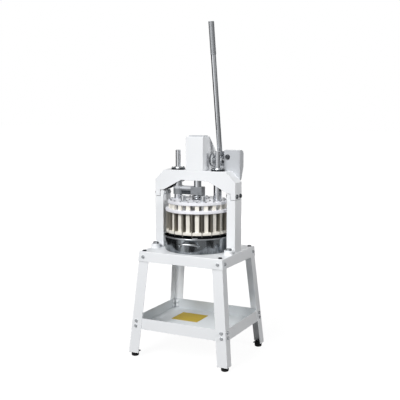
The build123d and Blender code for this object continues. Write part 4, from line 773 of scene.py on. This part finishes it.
# Press spring round the ram, and the return spring that lies along the shaft in its housing
spring = {"radius": 26, "wire": 3, "low": 732.3, "high": 776.7, "turns": 4, "closed": 0.5, "steps": 48}
springPiece = windCoil("press_spring_finished", spring)
settle(springPiece, "cutting_head", "spring_steel", springSteel, "press_spring")
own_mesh(springPiece)
returnSpring = {"radius": 11.5, "wire": 2.4, "low": 152.4, "high": 187.6, "turns": 7, "closed": 0.5, "steps": 36}
returnPiece = windCoil("return_spring_finished", returnSpring)
returnPiece.matrix_world = aim((0, shaftY, shaftZ), (1, 0, 0))
settle(returnPiece, "stand", "spring_steel", springSteel, "return_spring")

# Pan: spun bowl with its rim coated in paler, rougher steel as a painted highlight, loop handle and the beads that
# weld it on
panRim = {"low": 582, "inner": 162.6}


def isPanRim(face):
    return face.center.z > panRim["low"] * mm and face.center.xy.length > panRim["inner"] * mm


# painted highlight: the rim bead and tab get the paler steel
coatFaces(finishNode("pan", "loose_pan", spunSteel), machinedSteel, isPanRim)
finishNode("pan_handle", "loose_pan", machinedSteel)
weld = {"turn": 12.5, "half": 44, "wall": 154.8, "z": 554.2, "rise": 20, "ring": 4.3, "bead": 1.5,
        "ringSides": 24, "beadSides": 10}
weldTurn, weldRise = math.radians(weld["turn"]), math.radians(weld["rise"])
alongWay = Vector((math.cos(weldTurn), math.sin(weldTurn), 0))
outFlat = Vector((math.sin(weldTurn), -math.cos(weldTurn), 0))
outWay = outFlat * math.cos(weldRise) + upAxis * math.sin(weldRise)
bpy.ops.object.select_all(action="DESELECT")
bpy.ops.mesh.primitive_torus_add(major_radius=weld["ring"] * mm, minor_radius=weld["bead"] * mm,
                                 major_segments=weld["ringSides"], minor_segments=weld["beadSides"])
bead = bpy.context.object
wallSpot = outFlat * weld["wall"] + upAxis * weld["z"]
beadPlaces = [aim(alongWay * weld["half"] * side + wallSpot, outWay) for side in (-1, 1)]
beads = spread(bead, beadPlaces, "handle_welds")
settle(beads, "loose_pan", "stainless_steel", spunSteel)
print("head and pan done")

# Camera at the photograph's place
view = {"place": (1.61954, -3.16883, 1.21516), "tilt": 82.6285, "turn": 26.90, "lens": 66.63, "sensor": 36}
cameraData = bpy.data.cameras.new("photo_camera")
cameraData.lens = view["lens"]
cameraData.sensor_width = view["sensor"]
camera = bpy.data.objects.new("photo_camera", cameraData)
camera.location = view["place"]
camera.rotation_euler = (math.radians(view["tilt"]), 0, math.radians(view["turn"]))
bpy.context.scene.collection.objects.link(camera)
bpy.context.scene.camera = camera


def seenRays(tree):  # 1 for the eye, mirrors and glass, 0 for light that lands on the object
    rays = addNode(tree, "ShaderNodeLightPath").outputs
    eye, mirror, glass = rays["Is Camera Ray"], rays["Is Glossy Ray"], rays["Is Transmission Ray"]
    bounced = addNode(tree, "ShaderNodeMath", {0: mirror, 1: glass}, operation="ADD")
    seen = addNode(tree, "ShaderNodeMath", {0: eye, 1: bounced.outputs[0]}, operation="ADD", use_clamp=True)
    return seen.outputs[0]


def grey(level):
    return (level, level, level, 1)


# White floor: bright to the eye and to mirrors, greyer as a bounce light, and it keeps the shadow
floorLook = {"size": 60, "near": 0.94, "far": 1.0, "nearAt": 0.5, "farAt": 1.4, "bounce": 0.1, "shadow": 0.08}
bpy.ops.object.select_all(action="DESELECT")
bpy.ops.mesh.primitive_plane_add(size=floorLook["size"])
floor = bpy.context.object
floor.name = "floor"
paper = bpy.data.materials.new("white_paper_floor")
paper.use_nodes = True
tree = paper.node_tree
tree.nodes.clear()
place = addNode(tree, "ShaderNodeTexCoord").outputs["Object"]
away = addNode(tree, "ShaderNodeVectorMath", {0: place}, operation="LENGTH")
glow = addNode(tree, "ShaderNodeMapRange", {"Value": away.outputs["Value"]},
               **{"From Min": floorLook["nearAt"], "From Max": floorLook["farAt"],
                  "To Min": floorLook["near"], "To Max": floorLook["far"]})
light = addNode(tree, "ShaderNodeEmission", {"Strength": glow.outputs["Result"]})
shadowed = addNode(tree, "ShaderNodeBsdfDiffuse", Color=grey(floorLook["shadow"]))
seen = addNode(tree, "ShaderNodeAddShader", {0: light.outputs[0], 1: shadowed.outputs[0]})
unseen = addNode(tree, "ShaderNodeBsdfDiffuse", Color=grey(floorLook["bounce"]))
mix = addNode(tree, "ShaderNodeMixShader", {0: seenRays(tree), 1: unseen.outputs[0], 2: seen.outputs[0]})
addNode(tree, "ShaderNodeOutputMaterial", {"Surface": mix.outputs[0]})
floor.data.materials.append(paper)

# White surroundings, softer as a light than as a background
studio = {"ambient": 0.1, "background": 1.0}
world = bpy.data.worlds.new("white_studio")
bpy.context.scene.world = world
world.use_nodes = True
tree = world.node_tree
tree.nodes.clear()
soft = addNode(tree, "ShaderNodeBackground", Color=grey(1), Strength=studio["ambient"])
white = addNode(tree, "ShaderNodeBackground", Color=grey(1), Strength=studio["background"])
mix = addNode(tree, "ShaderNodeMixShader", {0: seenRays(tree), 1: soft.outputs[0], 2: white.outputs[0]})
addNode(tree, "ShaderNodeOutputWorld", {"Surface": mix.outputs[0]})

# Cards that only mirrors see: a ring of screens for the upright chrome, and floor cloths for the pan's wall
screens = {"radius": 2.3, "steps": 180, "inner": 1.1, "outer": 3.4, "lift": 0.003}
# Brightness of each card, how high its ring stands, and its arcs: 0 is in front, 90 on the lever's side
cards = {
    "black_cloth": {"glow": 0.02, "high": (0, 2.3), "ring": ((96, 138), (-150, -48)),
                    "floor": ((-180, -145), (-117, -44), (-4, 19), (55, 80), (150, 180))},
    "grey_cloth": {"glow": 0.3, "high": (0, 0.95), "ring": ((42, 96),),
                   "floor": ((-145, -117), (19, 55), (80, 150))},
    "pale_cloth": {"glow": 0.55, "high": (0, 0.95), "ring": ((5, 42),)},
    "pale_screen": {"glow": 0.55, "high": (0.95, 2.3), "ring": ((5, 96),)},
    "dim_paper": {"glow": 0.5, "floor": ((-44, -30), (-20, -4))},
    "lit_paper": {"glow": 1.2, "floor": ((-30, -20),)},
}


def addRing(low, high):
    bpy.ops.object.select_all(action="DESELECT")
    bpy.ops.mesh.primitive_cylinder_add(vertices=screens["steps"], radius=screens["radius"], depth=high - low,
                                        end_fill_type="NOTHING", location=(0, 0, (low + high) / 2))
    bpy.ops.object.transform_apply(location=True)


def addFloorRing():
    lift = screens["lift"]
    grow = screens["outer"] / screens["inner"]
    bpy.ops.object.select_all(action="DESELECT")
    bpy.ops.mesh.primitive_circle_add(vertices=screens["steps"], radius=screens["inner"], location=(0, 0, lift))
    bpy.ops.object.transform_apply(location=True)
    bpy.ops.object.mode_set(mode="EDIT")
    bpy.ops.mesh.select_mode(type="VERT")
    bpy.ops.mesh.select_all(action="SELECT")
    bpy.ops.mesh.extrude_region_move()
    bpy.ops.transform.resize(value=(grow, grow, 1), center_override=(0, 0, lift))
    bpy.ops.object.mode_set(mode="OBJECT")


def keepArcs(card, arcs):  # deletes the faces that stand outside the arcs
    bpy.ops.object.mode_set(mode="EDIT")
    bpy.ops.mesh.select_mode(type="FACE")
    bpy.ops.mesh.select_all(action="DESELECT")
    mesh = bmesh.from_edit_mesh(card.data)
    for face in mesh.faces:
        spot = face.calc_center_median()
        azimuth = math.degrees(math.atan2(spot.x, -spot.y))
        face.select_set(not any(a <= azimuth < b for a, b in arcs))
    bmesh.update_edit_mesh(card.data)
    bpy.ops.mesh.delete(type="FACE")
    bpy.ops.object.mode_set(mode="OBJECT")


for name, values in cards.items():
    cloth = bpy.data.materials.new(name)
    cloth.use_nodes = True
    tree = cloth.node_tree
    tree.nodes.clear()
    glow = addNode(tree, "ShaderNodeEmission", Color=grey(1), Strength=values["glow"])
    addNode(tree, "ShaderNodeOutputMaterial", {"Surface": glow.outputs[0]})
    for kind in ("ring", "floor"):
        if kind not in values:
            continue
        if kind == "ring":
            addRing(*values["high"])
        else:
            addFloorRing()
        card = bpy.context.object
        card.name = name + "_" + kind
        keepArcs(card, values[kind])
        card.data.materials.append(cloth)
        card.visible_camera = False
        card.visible_diffuse = False
        card.visible_shadow = False
        card.visible_transmission = False

# Soft lamps: the key from the front, a fill from the lever's side, and two low ones for the back and the left
lamps = {
    "key": {"at": (-1.0, -6.0, 5.2), "to": (0, 0, 0.6), "size": 3.4, "power": 585, "mirrored": True},
    "fill": {"at": (2.4, -0.6, 1.7), "to": (0, 0, 0.7), "size": 0.8, "power": 31, "mirrored": False},
    "back": {"at": (-0.8, 4.6, 0.85), "to": (0, 0, 0.75), "size": 1.5, "power": 140, "mirrored": False},
    "left": {"at": (-3.2, 1.6, 0.85), "to": (0, 0, 0.75), "size": 1.5, "power": 60, "mirrored": False},
}
for name, values in lamps.items():
    lampData = bpy.data.lights.new(name, "AREA")
    lampData.energy = values["power"]
    lampData.size = values["size"]
    lamp = bpy.data.objects.new(name, lampData)
    lamp.location = values["at"]
    lamp.rotation_euler = (Vector(values["to"]) - Vector(values["at"])).to_track_quat("-Z", "Y").to_euler()
    lamp.visible_glossy = values["mirrored"]
    bpy.context.scene.collection.objects.link(lamp)
bpy.context.scene.view_settings.view_transform = "Standard"
print("stage done")
